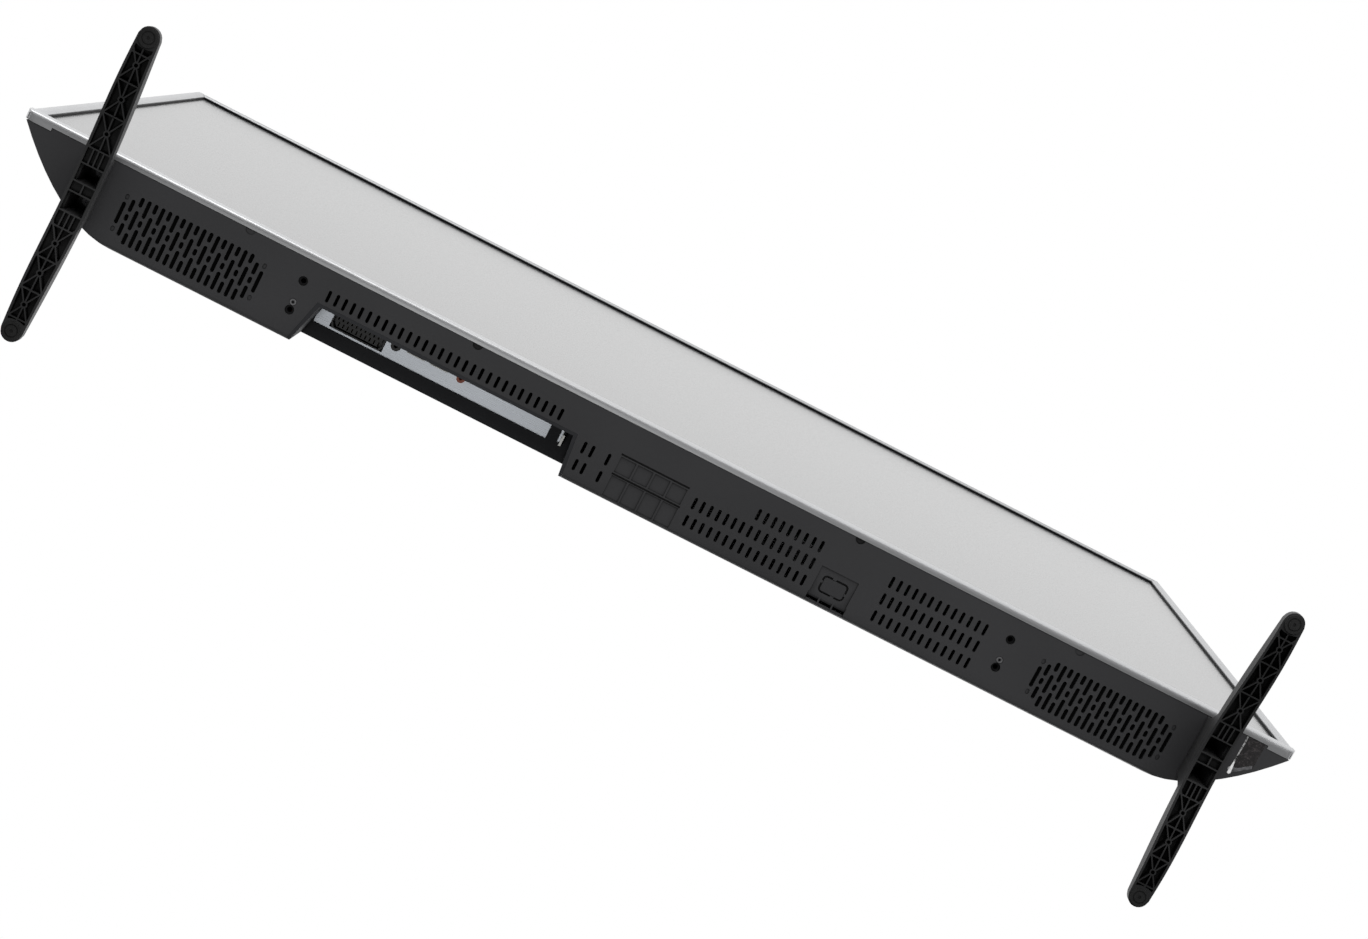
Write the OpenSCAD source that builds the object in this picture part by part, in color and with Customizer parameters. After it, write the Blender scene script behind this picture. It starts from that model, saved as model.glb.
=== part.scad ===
// Flat screen television on two bar feet, taken apart into its separate pieces.
// All pieces are drawn in the set's own frame: X to the right as the picture is seen, Y to the back
// from the front of the silver frame, Z up from the underside of the set. module placed() then stands
// the set on its feet, with the origin on the floor under the middle of the model.

/* [Screen] */
// Overall width across the silver frame
set_w = 1080; // [1060:1:1100]
// Height of the screen part without the stand
set_h = 625; // [615:1:640]
// Front width of the side and top bars
bar_w = 10; // [8:0.5:11]
// Front height of the bottom bar
bottom_bar_h = 15; // [13:0.5:18]
// Depth of the side and top bars
bar_d = 7; // [6:0.1:7]
// Depth of the bottom bar between its corner lips
bottom_bar_d = 5; // [4.5:0.1:5.2]
// Length of the deeper lip at each bottom corner
lip_l = 22.5; // [20:0.5:23]
// Depth of the lip at each bottom corner
lip_d = 7.6; // [7.2:0.1:8]
// Metal thickness of the bars
bar_wall = 2; // [1.5:0.1:2.3]
// Width of the black frame that shows beside the picture
seam_w = 0.8; // [0.5:0.1:1.2]
// Thickness of the glass sandwich
glass_t = 2.2; // [1.6:0.1:2.4]
// Thickness of the diffuser plate
diffuser_t = 1.5; // [1:0.1:1.8]
// Sheet thickness of the steel tray
tray_t = 1; // [0.8:0.1:1.2]

/* [Backlight] */
// Depth from the front of the set to the back of the steel tray
tray_back = 34; // [32:0.5:34]
// Rows of light strips
led_rows = 6; // [4:1:7]
// Lamps on each strip
led_count = 11; // [8:1:13]
// Diameter of a lamp lens
lens_d = 15; // [12:0.5:18]

/* [Cover] */
// Depth of the set at its underside
cover_d = 68; // [66:0.5:70]
// Wall thickness of the cover
cover_wall = 2.5; // [2:0.1:2.8]
// Depth of the thin upper part
upper_d = 44; // [42:0.5:48]
// Height at which the thin upper part starts
upper_z = 525; // [515:1:535]
// Length of the curved taper at each end
end_run = 98; // [92:1:104]
// Depth at the flat hump that holds the electronics
hump_d = 78; // [76:0.5:80]
// Width of the hump's flat
hump_w = 660; // [640:1:680]
// Height of the hump's top edge
hump_top = 430; // [420:1:436]

/* [Vents and grilles] */
// Width of a vent slot
vent_w = 2.6; // [2:0.1:3]
// Distance between vent slots
vent_pitch = 6.74; // [6.5:0.02:6.9]
// Width of a slot of the loudspeaker grille
grille_slot_w = 3.1; // [2.6:0.1:3.4]
// Distance between columns of the loudspeaker grille
grille_pitch = 5.7; // [5.4:0.05:5.8]
// Distance from the side of the set to the outermost grille column
grille_inset = 94; // [92:0.5:97]

/* [Terminals] */
// Height of the terminal bay above the underside
bay_h = 58; // [56:0.5:60]
// Distance from the front of the set to the terminal bay
bay_front = 34.5; // [34:0.25:36]
// Width of the terminal bay at its front
bay_w = 214; // [212:1:216]
// Width of the scart socket
scart_w = 45; // [43:0.5:47]
// Lower end of the side terminal bay
side_bay_z0 = 115; // [112:1:116]
// Upper end of the side terminal bay
side_bay_z1 = 302; // [301:1:306]

/* [Control button] */
// Width of the button
button_w = 18.6; // [17:0.1:19.5]
// Depth of the button
button_l = 11.2; // [10:0.1:12]
// Travel of the button
button_travel = 1; // [0.6:0.1:1.2]
// Gap round the button
button_gap = 1.6; // [1.2:0.1:1.8]

/* [Stand] */
// Height of the underside of the set above the floor
stand_h = 58.5; // [56:0.5:62]
// Distance from the side of the set to the middle of a foot
foot_inset = 70; // [68:0.5:72]
// Length of a foot
foot_len = 254.5; // [245:0.5:265]
// Distance that the tip of a foot stands out in front of the set
foot_front = 102; // [98:0.5:106]
// Width of a foot in its middle
foot_w = 21.5; // [20:0.25:23]
// Radius of a foot's tips
foot_tip_r = 8.1; // [7.8:0.1:8.8]
// Height of the arch under the middle of a foot
arch_h = 14; // [11:0.5:15]
// Thickness of a foot's outer wall
foot_wall = 1.9; // [1.7:0.1:2.2]
// Thickness of a foot's ribs
foot_rib = 1.1; // [0.8:0.1:1.2]
// Thickness of a rubber pad below the foot
pad_t = 1.5; // [1:0.1:2]
// Distance between the two screw holes of a foot
hole_pitch = 24.3; // [23.5:0.1:25]
// Distance from the side of the set to the spare pair of foot holes
spare_inset = 238.6; // [238:0.2:240]
// Diameter of a spare foot hole
spare_hole_d = 7.4; // [7:0.1:7.8]
// Diameter of a foot screw's shank
foot_screw_d = 4; // [3.5:0.1:4.2]

/* [Wall mount] */
// Distance between the wall mount holes
wall_pitch = 200; // [200:1:202]
// Diameter of the wall mount threads
wall_hole_d = 6; // [5:0.1:6.2]
// Height of the middle of the wall mount pattern
wall_z = 270; // [268:1:280]

/* [Hidden] */

$fn = 48;
eps = 0.01;
seat = 0.05;
half_w = set_w / 2;
seam_bottom = 0.8;

// Picture layers, and the wider opening of the frame in front of them
film_rim = 14;
pic_x = half_w - film_rim;
pic_z0 = bottom_bar_h + seam_bottom;
pic_z1 = set_h - film_rim;
open_x = half_w - bar_w - seam_w;
open_z1 = set_h - bar_w - seam_w;

// Layers from the front to the back
frame_t = 1.6;
gasket_t = 0.4;
ledge_t = 0.6;
film_t = 1.2;
glass_y = bar_wall + frame_t;
gasket_y = glass_y + glass_t;
ledge_y = gasket_y + gasket_t;
film_y = ledge_y + ledge_t;
diffuser_y = film_y + film_t;
tray_y = diffuser_y + diffuser_t + 0.1;
board_gap = 4;
board_y = tray_back + board_gap;
board_t = 1.6;
board_back = board_y + board_t;

// Growth of each layer past the picture
glass_drop = 3.5;
ledge_grow = -4;
film_grow = -0.8;
pocket_grow = -0.4;
mid_grow = 6.2;
flange_grow = 5.5;
tray_grow = -4;
tray_side_run = 36;
tray_top_run = 32;
tray_bottom_run = 54;

// Cover
cover_step = 2;
cover_gap = 0.4;
cover_z0 = 0.3;
cover_front = bar_d + cover_gap;
cover_front_bottom = bottom_bar_d + cover_gap;
cover_edge_r = 4;
cover_power = 1.85;
cover_steps = 10;
upper_knee_z = 445;
top_run = 63.5;
hump_slope = 16;
hump_z0 = 98;
floor_z = cover_z0 + cover_wall;

// Screws of the cover
well_inset = 12.5;
well_r = 3.2;
well_wall = 1.4;
well_floor = 1.9;
screw_r = 1.5;
screw_head_r = 2.8;
screw_head_t = 2;
hole_slack = 0.05;
well_z = [60, 200, 340, set_h - 145, set_h - 35];
well_top_z = set_h - 12.5;
well_top_x = [-400, -200, 0, 200, 400];

// Terminal bay, as corners in plan
bay_x0 = -282;
bay_x1 = bay_x0 + bay_w;
bay_flare_left = 10;
bay_flare_right = 3.5;
bay_window_x1 = -85.7;
bay_window_y0 = bay_front + 2.5;
bay_window_y1 = 56.4;
plate_z = bay_h + cover_wall;
plate_t = 1;
tab_x = bay_x1 - 6.4;
tab_t = 1.8;
tab_y0 = 44.5;
tab_y1 = 53.5;
tab_drop = 19;
clip_t = 0.8;
recess_gap = 0.1;

// Sockets of the terminal bay: centre across and distance from the front
scart_x = -252;
scart_d = 14.6;
scart_h = 22;
audio_x = -221.3;
audio_y = board_back + 5;
digital_x = -165;
digital_y = board_back + 4.6;
hdmi_w = 15;
hdmi_t = 5.6;
hdmi_x = [-204, -184];

// Side terminal bay
side_bay_y = board_back + 0.4;
side_plate_x = -296;
side_bay_flat = 54;
side_bay_slope = 46;
board_x0 = side_plate_x + cover_wall + plate_t + 1;
board_x1 = -112;
board_z0 = plate_z + plate_t + 1;
board_z1 = 305;
card_z = 154;
usb_z = [197, 217];
side_hdmi_z = 238;
headphone_z = 254;
network_z = 270;
antenna_z = 290;

// Power supply
power_x0 = 118;
power_x1 = 290;
power_z0 = 85;
power_z1 = 300;
inlet_x = 250;
inlet_z = 130;
inlet_w = 30;
inlet_h = 20;
inlet_l = 22;
pin_gap = 8.6;

// Vent rows: distance from the front to the start and end of the slots
row_a = [19.5, 29.3];
row_b = [34, 44];
row_c = [49, 58.5];

// Loudspeaker grille
grille_cols = 21;
grille_x1 = half_w - grille_inset;
grille_even = [[21, 29], [32, 48], [50.5, 60]];
grille_odd = [[21, 35.5], [37.5, 43], [45, 60]];
grille_second = [[25.5, 35.5], [37.5, 43], [45, 55.5]];
grille_end = [[30, 48]];
blind_end = [[23.5, 28], [50, 54.5]];

// Control panel
panel_x = 162.1;
panel_y = 49.2;
panel_w = 31.5;
panel_y0 = 36.8;
panel_y1 = 66.4;
panel_sink = 0.9;
scoop_y0 = 58.6;
scoop_y1 = 66;
scoop_slot_y0 = 62.2;
scoop_slot_y1 = 64.6;
scoop_w = 10;
scoop_pitch = 11.3;
button_r = 2;
button_proud = 0.3;
button_flange = 1.3;
button_flange_t = 1.2;
button_stem_w = 6;
button_stem_h = 6;
switch_play = 0.3;
switch_h = 3.5;
control_t = 1.6;
control_z = floor_z + 0.2 + button_flange_t + button_stem_h + button_travel + switch_play + switch_h;

// Receiver window
window_x0 = half_w - 39;
window_x1 = half_w - 24.5;
window_y0 = cover_front_bottom + 0.4;
window_y1 = 37.5;
window_y2 = 27;
guide_w = 1.2;

// Stand
foot_x = half_w - foot_inset;
foot_mid_y = foot_len / 2 - foot_front;
foot_screw_y0 = 17.4;
foot_steps = 24;
floor_plane = -stand_h;
foot_under = floor_plane + pad_t;
foot_tip_top = 6;
foot_rise = 15;
foot_roof = 2.5;
pad_inset = 8.6;
pad_r = 7.25;
pad_ring_r = 4.6;
neck_top_plate = 4;
neck_x0 = 9;
neck_top_x0 = 5.2;
neck_x1 = 13;
pocket_x = 7.35;
spare_x = half_w - spare_inset;
spare_y0 = 22.4;

module placed() {
    translate([0, -foot_mid_y, stand_h]) children();
}

// Helpers

function arc(cx, cy, r, a0, a1, n) = [for (i = [0:n])
    let (a = a0 + (a1 - a0) * i / n) [cx + r * cos(a), cy + r * sin(a)]];

function mirrored(points) = [for (i = [len(points) - 1:-1:0]) [-points[i][0], points[i][1]]];

// Extrudes a front view (X, Z) from y0 to the back
module front_view(y0, t) {
    translate([0, y0 + t, 0]) rotate([90, 0, 0]) linear_extrude(t) children();
}

// Extrudes a side view (Y, Z) across the width w, centred
module side_view(w) {
    rotate([90, 0, 90]) linear_extrude(w, center = true) children();
}

module both_sides() {
    children();
    mirror([1, 0, 0]) children();
}

module picture_rect(grow) {
    translate([-pic_x - grow, pic_z0 - grow])
        square([2 * (pic_x + grow), pic_z1 - pic_z0 + 2 * grow]);
}

module ring_plate(outer, inner, y0, t) {
    front_view(y0, t) difference() {
        picture_rect(outer);
        picture_rect(inner);
    }
}

module block(x0, x1, y0, y1, z0, z1) {
    translate([x0, y0, z0]) cube([x1 - x0, y1 - y0, z1 - z0]);
}

module rod(x, y, z0, z1, r) {
    translate([x, y, z0]) cylinder(r = r, h = z1 - z0);
}

module rod_back(x, z, y0, y1, r) {
    translate([x, y1, z]) rotate([90, 0, 0]) cylinder(r = r, h = y1 - y0);
}

module rod_side(y, z, x0, x1, r) {
    translate([x0, y, z]) rotate([0, 90, 0]) cylinder(r = r, h = x1 - x0);
}

// A slot with round ends, along Y
module slot(x, y0, y1, w) {
    polygon(concat(
        arc(x, y1 - w / 2, w / 2, 0, 180, 5),
        arc(x, y0 + w / 2, w / 2, 180, 360, 5)));
}

module round_rect(w, l, r) {
    polygon(concat(
        arc(w / 2 - r, l / 2 - r, r, 0, 90, 4),
        arc(r - w / 2, l / 2 - r, r, 90, 180, 4),
        arc(r - w / 2, r - l / 2, r, 180, 270, 4),
        arc(w / 2 - r, r - l / 2, r, 270, 360, 4)));
}

// Silver frame

bar_round = 3;
bottom_round = 3.6;
bar_bevel = 3.2;
bar_bevel_d = 1.3;
corner_r = 4;
corner_low_r = 8;
mitre_gap = 0.1;

// Section of a bar: x runs inwards from the outer edge and y to the back
module bar_section(front, depth, round, bevel) {
    difference() {
        intersection() {
            square([front, depth]);
            bar_outline(front, depth, round, bevel);
        }
        translate([bar_wall, bar_wall]) square([front, depth]);
    }
}

module bar_outline(front, depth, round, bevel) {
    translate([round, 0]) square([front - round - bevel, depth]);
    translate([0, round]) square([round + 1, depth - round]);
    translate([round, round]) circle(r = round);
    polygon([[front - bevel - 1, 0], [front - bevel, 0], [front, bar_bevel_d],
        [front, bar_wall], [front - bevel - 1, bar_wall]]);
}

// Front outline of the whole frame with its rounded corners
module frame_outline() {
    polygon(concat(
        arc(half_w - corner_low_r, corner_low_r, corner_low_r, 270, 360, 8),
        arc(half_w - corner_r, set_h - corner_r, corner_r, 0, 90, 6),
        arc(corner_r - half_w, set_h - corner_r, corner_r, 90, 180, 6),
        arc(corner_low_r - half_w, corner_low_r, corner_low_r, 180, 270, 8)));
}

module side_bar_solid(z0, z1) {
    translate([half_w, 0, z0]) mirror([1, 0, 0]) linear_extrude(z1 - z0)
        bar_section(bar_w, bar_d, bar_round, bar_bevel);
}

module mitre_region() {
    front_view(-1, bar_d + 2) polygon([
        [-half_w - 1, set_h + 1 + mitre_gap], [half_w + 1, set_h + 1 + mitre_gap],
        [half_w - 3 * bar_w, set_h - 3 * bar_w + mitre_gap],
        [3 * bar_w - half_w, set_h - 3 * bar_w + mitre_gap]]);
}

module bezel_right() {
    color("silver") placed() intersection() {
        difference() {
            side_bar_solid(bottom_bar_h + mitre_gap, set_h);
            mitre_region();
        }
        front_view(-1, bar_d + 2) frame_outline();
    }
}

module bezel_left() {
    mirror([1, 0, 0]) bezel_right();
}

module bezel_top() {
    color("silver") placed() intersection() {
        translate([0, 0, set_h]) rotate([0, 90, 0]) linear_extrude(set_w, center = true)
            bar_section(bar_w, bar_d, bar_round, bar_bevel);
        front_view(-1, bar_d + 2) frame_outline();
        translate([0, 0, mitre_gap]) mitre_region();
    }
}

bottom_bevel = 1;

module bezel_bottom() {
    bottom_lip = half_w - lip_l;
    color("silver") placed() intersection() {
        union() {
            mirror([0, 0, 1]) rotate([0, 90, 0]) linear_extrude(set_w, center = true)
                bottom_section();
            both_sides() block(bottom_lip, half_w, bottom_bar_d - 1, lip_d, 0, bar_wall);
            both_sides() block(half_w - bar_wall, half_w, bar_d - 1, lip_d, 0, bottom_bar_h);
            both_sides() side_bar_solid(0, bottom_bar_h);
        }
        front_view(-1, lip_d + 2) frame_outline();
        bottom_front_round();
    }
}

// Section of the bottom bar: x runs upwards and y to the back
module bottom_section() {
    polygon([[0, 0], [bottom_bar_h - bottom_bevel, 0], [bottom_bar_h, bottom_bevel],
        [bottom_bar_h, bar_wall], [bar_wall, bar_wall], [bar_wall, bottom_bar_d], [0, bottom_bar_d]]);
}

// The bottom bar's rounded front edge carries on over its ends
module bottom_front_round() {
    side_view(set_w + 2) {
        translate([bottom_round, -1]) square([lip_d + 1 - bottom_round, bottom_bar_h + 1]);
        translate([0, bottom_round]) square([lip_d + 1, bottom_bar_h - bottom_round]);
        translate([bottom_round, bottom_round]) circle(r = bottom_round);
    }
}

// Panel stack

frame_wall = 2;
frame_clear = 0.3;

module front_frame() {
    outer_x = half_w - bar_wall - frame_clear;
    outer_z1 = set_h - bar_wall - frame_clear;
    outer_z0 = floor_z + 0.2;
    frame_back = bar_d - 0.1;
    color("black") placed() difference() {
        block(-outer_x, outer_x, bar_wall, frame_back, outer_z0, outer_z1);
        block(frame_wall - outer_x, outer_x - frame_wall, glass_y, frame_back + 1,
            outer_z0 + frame_wall, outer_z1 - frame_wall);
        front_view(0, frame_back) open_rect(0, 0);
    }
}

// The opening in front of the picture, wider by side and lower by drop
module open_rect(side, drop) {
    translate([-open_x - side, pic_z0 - drop])
        square([2 * (open_x + side), open_z1 + side - pic_z0 + drop]);
}

// The glass fills the frame but for its clearance
glass_side = half_w - bar_wall - 2 * frame_clear - frame_wall - 2 - open_x;

module lcd_panel() {
    color("gainsboro") placed() front_view(glass_y, glass_t) open_rect(glass_side, glass_drop);
}

module panel_gasket() {
    color("dimgray") placed() front_view(gasket_y, gasket_t) difference() {
        open_rect(glass_side - 0.5, glass_drop);
        picture_rect(0);
    }
}

module mid_frame() {
    color("whitesmoke") placed() difference() {
        union() {
            ring_plate(mid_grow, ledge_grow, ledge_y, ledge_t);
            ring_plate(mid_grow, pocket_grow, film_y - eps, tray_y - film_y + eps);
        }
        screw_holes(ledge_y - 1, tray_y + 1);
    }
}

module optical_films() {
    color("white") placed() front_view(film_y, film_t) picture_rect(film_grow);
}

module diffuser_plate() {
    color("white") placed() front_view(diffuser_y, diffuser_t) picture_rect(film_grow);
}

// Backlight and tray

// The hollow of the tray: a shallow tub that narrows to the back
module tray_tub(inset, front, back) {
    x0 = pic_x + tray_grow + inset;
    z0 = pic_z0 - tray_grow - inset;
    z1 = pic_z1 + tray_grow + inset;
    intersection() {
        translate([0, 0, -1]) linear_extrude(set_h + 2) polygon([
            [-x0, front], [x0, front], [x0 - tray_side_run, back], [tray_side_run - x0, back]]);
        side_view(set_w) polygon([
            [front, z0], [front, z1], [back, z1 - tray_top_run], [back, z0 + tray_bottom_run]]);
    }
}

module steel_tray() {
    color("lightslategray") placed() difference() {
        union() {
            tray_tub(tray_t, tray_y, tray_back);
            ring_plate(flange_grow, tray_grow, tray_y, tray_t);
            for (p = board_standoffs()) rod_back(p[0], p[1], tray_back - tray_t, board_y, 3.5);
        }
        tray_tub(0, tray_y - eps, tray_back - tray_t);
        screw_holes(tray_y - 1, tray_y + tray_t + 1);
    }
}

function board_standoffs() = [
    for (x = [board_x0 + 6, board_x1 - 6]) for (z = [board_z0 + 20, board_z1 - 6]) [x, z],
    for (x = [power_x0 + 6, power_x1 - 6]) for (z = [power_z0 + 6, power_z1 - 6]) [x, z],
    for (x = [tcon_x - 6, 6 - tcon_x]) for (z = [tcon_z0 + 6, tcon_z1 - 6]) [x, z]
];

tcon_x = 75;
tcon_z0 = 95;
tcon_z1 = 150;
led_strip_w = 16;
led_strip_t = 1.2;
lens_h = 6;
reflector_t = 0.4;
led_margin = 12;
led_back = tray_back - tray_t;
led_span = 2 * (pic_x + tray_grow - tray_side_run - led_margin) - lens_d;
led_z0 = pic_z0 - tray_grow + tray_bottom_run + led_margin;
led_z1 = pic_z1 + tray_grow - tray_top_run - led_margin;

function led_row_z(i) = led_z0 + (led_z1 - led_z0) * (i + 0.5) / led_rows;
function led_x(j) = -led_span / 2 + led_span * j / (led_count - 1);

module led_bars() {
    color("white") placed() for (i = [0:led_rows - 1])
        block(-led_span / 2 - lens_d / 2, led_span / 2 + lens_d / 2, led_back - led_strip_t, led_back,
            led_row_z(i) - led_strip_w / 2, led_row_z(i) + led_strip_w / 2);
}

module led_lenses() {
    lens_back = led_back - led_strip_t;
    color("aliceblue") placed() for (i = [0:led_rows - 1]) for (j = [0:led_count - 1])
        rod_back(led_x(j), led_row_z(i), lens_back - lens_h, lens_back, lens_d / 2);
}

module reflector_sheet() {
    back = led_back - led_strip_t;
    sheet_x = pic_x + tray_grow - tray_side_run - 2;
    color("white") placed() difference() {
        block(-sheet_x, sheet_x, back - reflector_t, back,
            led_z0 - led_margin + 2, led_z1 + led_margin - 2);
        for (i = [0:led_rows - 1]) for (j = [0:led_count - 1])
            rod_back(led_x(j), led_row_z(i), back - 2, back + 1, lens_d / 2 + 0.5);
    }
}

post_r0 = 1.5;
post_r1 = 5;

module diffuser_posts() {
    post_back = led_back - led_strip_t - reflector_t;
    color("white") placed() for (i = [1:led_rows - 1]) for (j = [1:3:led_count - 2])
        translate([(led_x(j) + led_x(j + 1)) / 2, post_back, (led_row_z(i - 1) + led_row_z(i)) / 2])
            rotate([90, 0, 0]) cylinder(r1 = post_r1, r2 = post_r0, h = post_back - tray_y);
}

// Boards behind the tray

tab_count = 6;
source_x0 = 30;
source_x1 = 440;
source_y0 = 8.5;
source_y1 = 15.5;
source_z = floor_z + 2.5;
source_t = 1.2;
flex_t = 0.3;
flex_w = 30;

module panel_driver_boards() {
    color("darkgreen") placed() both_sides()
        block(source_x0, source_x1, source_y0, source_y1, source_z, source_z + source_t);
}

module panel_flex_tabs() {
    flex_y = glass_y + 1;
    pitch = (source_x1 - source_x0 - flex_w - 10) / (tab_count - 1);
    color("peru") placed() both_sides() for (i = [0:tab_count - 1])
        translate([source_x0 + 5 + i * pitch, 0, 0]) {
            block(0, flex_w, flex_y, flex_y + flex_t, source_z - flex_t, pic_z0 - glass_drop);
            block(0, flex_w, flex_y, source_y0 + 2, source_z - flex_t, source_z);
        }
}

module picture_board() {
    color("darkgreen") placed() {
        block(-tcon_x, tcon_x, board_y, board_y + board_t, tcon_z0, tcon_z1);
        block(-14, 14, board_back, board_back + 1.6, tcon_z0 + 16, tcon_z0 + 44);
        for (x = [-62, 34]) block(x, x + 28, board_back, board_back + 2.2, tcon_z0, tcon_z0 + 5);
    }
}

module picture_ribbons() {
    ribbon_w = 24;
    ribbon_t = 0.3;
    top = tcon_z0 + 3;
    y0 = board_back + 2.2 + seat;
    end_z = source_z + source_t + seat;
    front = [[y0, top], [y0, tcon_z0 - 8], [tray_back + 2, tcon_z0 - 20],
        [source_y1 + 1.5, end_z + ribbon_t + 2.5], [source_y0 + 2, end_z + ribbon_t]];
    shift = [[ribbon_t, 0], [ribbon_t, 0], [ribbon_t, 0], [ribbon_t, -ribbon_t], [0, -ribbon_t]];
    back = [for (i = [len(front) - 1:-1:0]) front[i] + shift[i]];
    color("ivory") placed() for (x = [-60, 36]) translate([x + ribbon_w / 2, 0, 0])
        side_view(ribbon_w) polygon(concat(front, back));
}

module main_board() {
    color("darkgreen") placed() {
        block(board_x0, board_x1, board_y, board_back, board_z0, board_z1);
        for (p = [[-150, 215], [-150, 245], [-220, 262], [-262, 95]])
            block(p[0], p[0] + 16, board_back, board_back + 1.2, p[1], p[1] + 12);
        block(-180, -128, board_back, board_back + 2.4, 290, 296);
        for (p = [[-130, 100], [-130, 116], [-144, 100], [-250, 240], [-262, 205]])
            rod_back(p[0], p[1], board_back, board_back + 9, 4);
    }
}

sink_x = -205;
sink_z = 160;
sink_w = 42;
sink_base = 2;
sink_h = 10;
sink_fins = 9;

module processor_heatsink() {
    chip_h = 1.5;
    y0 = board_back + chip_h;
    color("dimgray") placed() {
        block(sink_x + 8, sink_x + sink_w - 8, board_back, y0, sink_z + 8, sink_z + sink_w - 8);
        block(sink_x, sink_x + sink_w, y0, y0 + sink_base, sink_z, sink_z + sink_w);
        for (i = [0:sink_fins - 1])
            block(sink_x, sink_x + sink_w, y0 + sink_base - eps, y0 + sink_base + sink_h,
                sink_z + i * (sink_w - 1.2) / (sink_fins - 1),
                sink_z + i * (sink_w - 1.2) / (sink_fins - 1) + 1.2);
    }
}

// Sockets

module terminal_plate() {
    hole = 0.15;
    color("lightgray") placed() difference() {
        block(bay_x0 - 7, tab_x - 0.2, bay_window_y0 - 1, bay_window_y1 + 2, plate_z, plate_z + plate_t);
        translate([scart_x, board_back + scart_d / 2, plate_z - 1]) linear_extrude(plate_t + 2)
            square([scart_w + 2 * hole, scart_d + 2 * hole], center = true);
        rod(audio_x, audio_y, plate_z - 1, plate_z + plate_t + 1, audio_r + hole);
        rod(digital_x, digital_y, plate_z - 1, plate_z + plate_t + 1, digital_r + hole);
        for (x = hdmi_x) block(x - hdmi_w / 2 - hole, x + hdmi_w / 2 + hole,
            board_back - 1, board_back + hdmi_t + hole, plate_z - 1, plate_z + plate_t + 1);
    }
}

// The bright clip that earths the plate and hangs into the bay
module earth_clip() {
    top = plate_z + plate_t;
    color("silver") placed() {
        block(tab_x, tab_x + tab_t, tab_y0, tab_y1, plate_z - tab_drop, top + clip_t);
        block(tab_x - 9, tab_x + eps, tab_y0, tab_y1, top, top + clip_t);
    }
}

scart_wall = 1.1;
scart_gap = 1.5;
scart_cut = 4;
blade_pitch = 3.8;

// Outline of the scart socket with two cut corners on its far side
module scart_outline(inset) {
    w = scart_w / 2 - inset;
    d = scart_d / 2 - inset;
    c = scart_cut;
    polygon([[-w, -d], [w, -d], [w, d - c], [w - c * 0.6, d], [c * 0.6 - w, d], [-w, d - c]]);
}

module scart_socket() {
    z0 = plate_z - 1.5;
    color("black") placed() translate([scart_x, board_back + scart_d / 2 + seat, z0]) difference() {
        linear_extrude(scart_h) scart_outline(0);
        translate([0, 0, -1]) linear_extrude(9) difference() {
            scart_outline(scart_wall);
            scart_outline(scart_wall + scart_gap);
        }
        translate([0, 0, -1]) linear_extrude(7) for (i = [0:9]) for (s = [-1, 1])
            translate([(i - 4.5) * blade_pitch + s * 0.9, s * 2.4]) square([1.1, 3.4], center = true);
    }
}

audio_r = 4;
audio_hole_r = 1.8;
digital_r = 3.5;
digital_hole_r = 1.4;

module audio_socket() {
    color("black") placed() difference() {
        union() {
            rod(audio_x, audio_y, plate_z - 1, plate_z + 4, audio_r);
            block(audio_x - 5, audio_x + 5, board_back, board_back + 10, plate_z + plate_t, plate_z + 15);
        }
        rod(audio_x, audio_y, plate_z - 2, plate_z + 14, audio_hole_r);
    }
}

module digital_audio_socket() {
    color("orange") placed() difference() {
        union() {
            rod(digital_x, digital_y, plate_z - 2, plate_z + 4, digital_r);
            block(digital_x - 4.6, digital_x + 4.6, board_back, board_back + 9.2,
                plate_z + plate_t, plate_z + 13);
        }
        rod(digital_x, digital_y, plate_z - 3, plate_z + 10, digital_hole_r);
    }
}

hdmi_l = 12;
hdmi_skin = 0.5;

// A shell with a tongue inside, drawn with its mouth towards -Z
module shell_socket(w, t, l, tongue) {
    difference() {
        translate([-w / 2, 0, 0]) cube([w, t, l]);
        translate([hdmi_skin - w / 2, hdmi_skin, -1])
            cube([w - 2 * hdmi_skin, t - 2 * hdmi_skin, l - 1]);
    }
    translate([2 - w / 2, (t - tongue) / 2, 1]) cube([w - 4, tongue, l - 2]);
}

module hdmi_sockets() {
    color("silver") placed() {
        for (x = hdmi_x) translate([x, board_back, plate_z - 0.5])
            shell_socket(hdmi_w, hdmi_t, hdmi_l, 1.6);
        side_socket(side_hdmi_z) shell_socket(hdmi_w, hdmi_t, hdmi_l, 1.6);
    }
}

// Turns a socket drawn with its mouth towards -Z so that its mouth is towards -X
module side_socket(z) {
    translate([side_plate_x + 0.5, board_back, z]) rotate([0, 90, 0]) children();
}

side_plate_y1 = hump_d - cover_wall - 0.1;

module side_terminal_plate() {
    x0 = side_plate_x + cover_wall;
    hole = 0.15;
    color("lightgray") placed() difference() {
        block(x0, x0 + plate_t, side_bay_y - 1.5, side_plate_y1, side_bay_z0 + 3, side_bay_z1 - 3);
        block(x0 - 1, x0 + 3, 0, board_back + card_t + hole, card_z - card_w / 2 - hole, card_z + card_w / 2 + hole);
        for (z = usb_z) block(x0 - 1, x0 + 3, 0, board_back + usb_t + hole,
            z - usb_w / 2 - hole, z + usb_w / 2 + hole);
        block(x0 - 1, x0 + 3, 0, board_back + hdmi_t + hole,
            side_hdmi_z - hdmi_w / 2 - hole, side_hdmi_z + hdmi_w / 2 + hole);
        block(x0 - 1, x0 + 3, 0, headphone_y + headphone_t / 2 + hole,
            headphone_z - headphone_t / 2 - hole, headphone_z + headphone_t / 2 + hole);
        block(x0 - 1, x0 + 3, 0, board_back + network_t + hole,
            network_z - network_w / 2 - hole, network_z + network_w / 2 + hole);
        rod_side(board_back + antenna_y, antenna_z, x0 - 1, x0 + 3, antenna_r + hole);
    }
}

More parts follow.
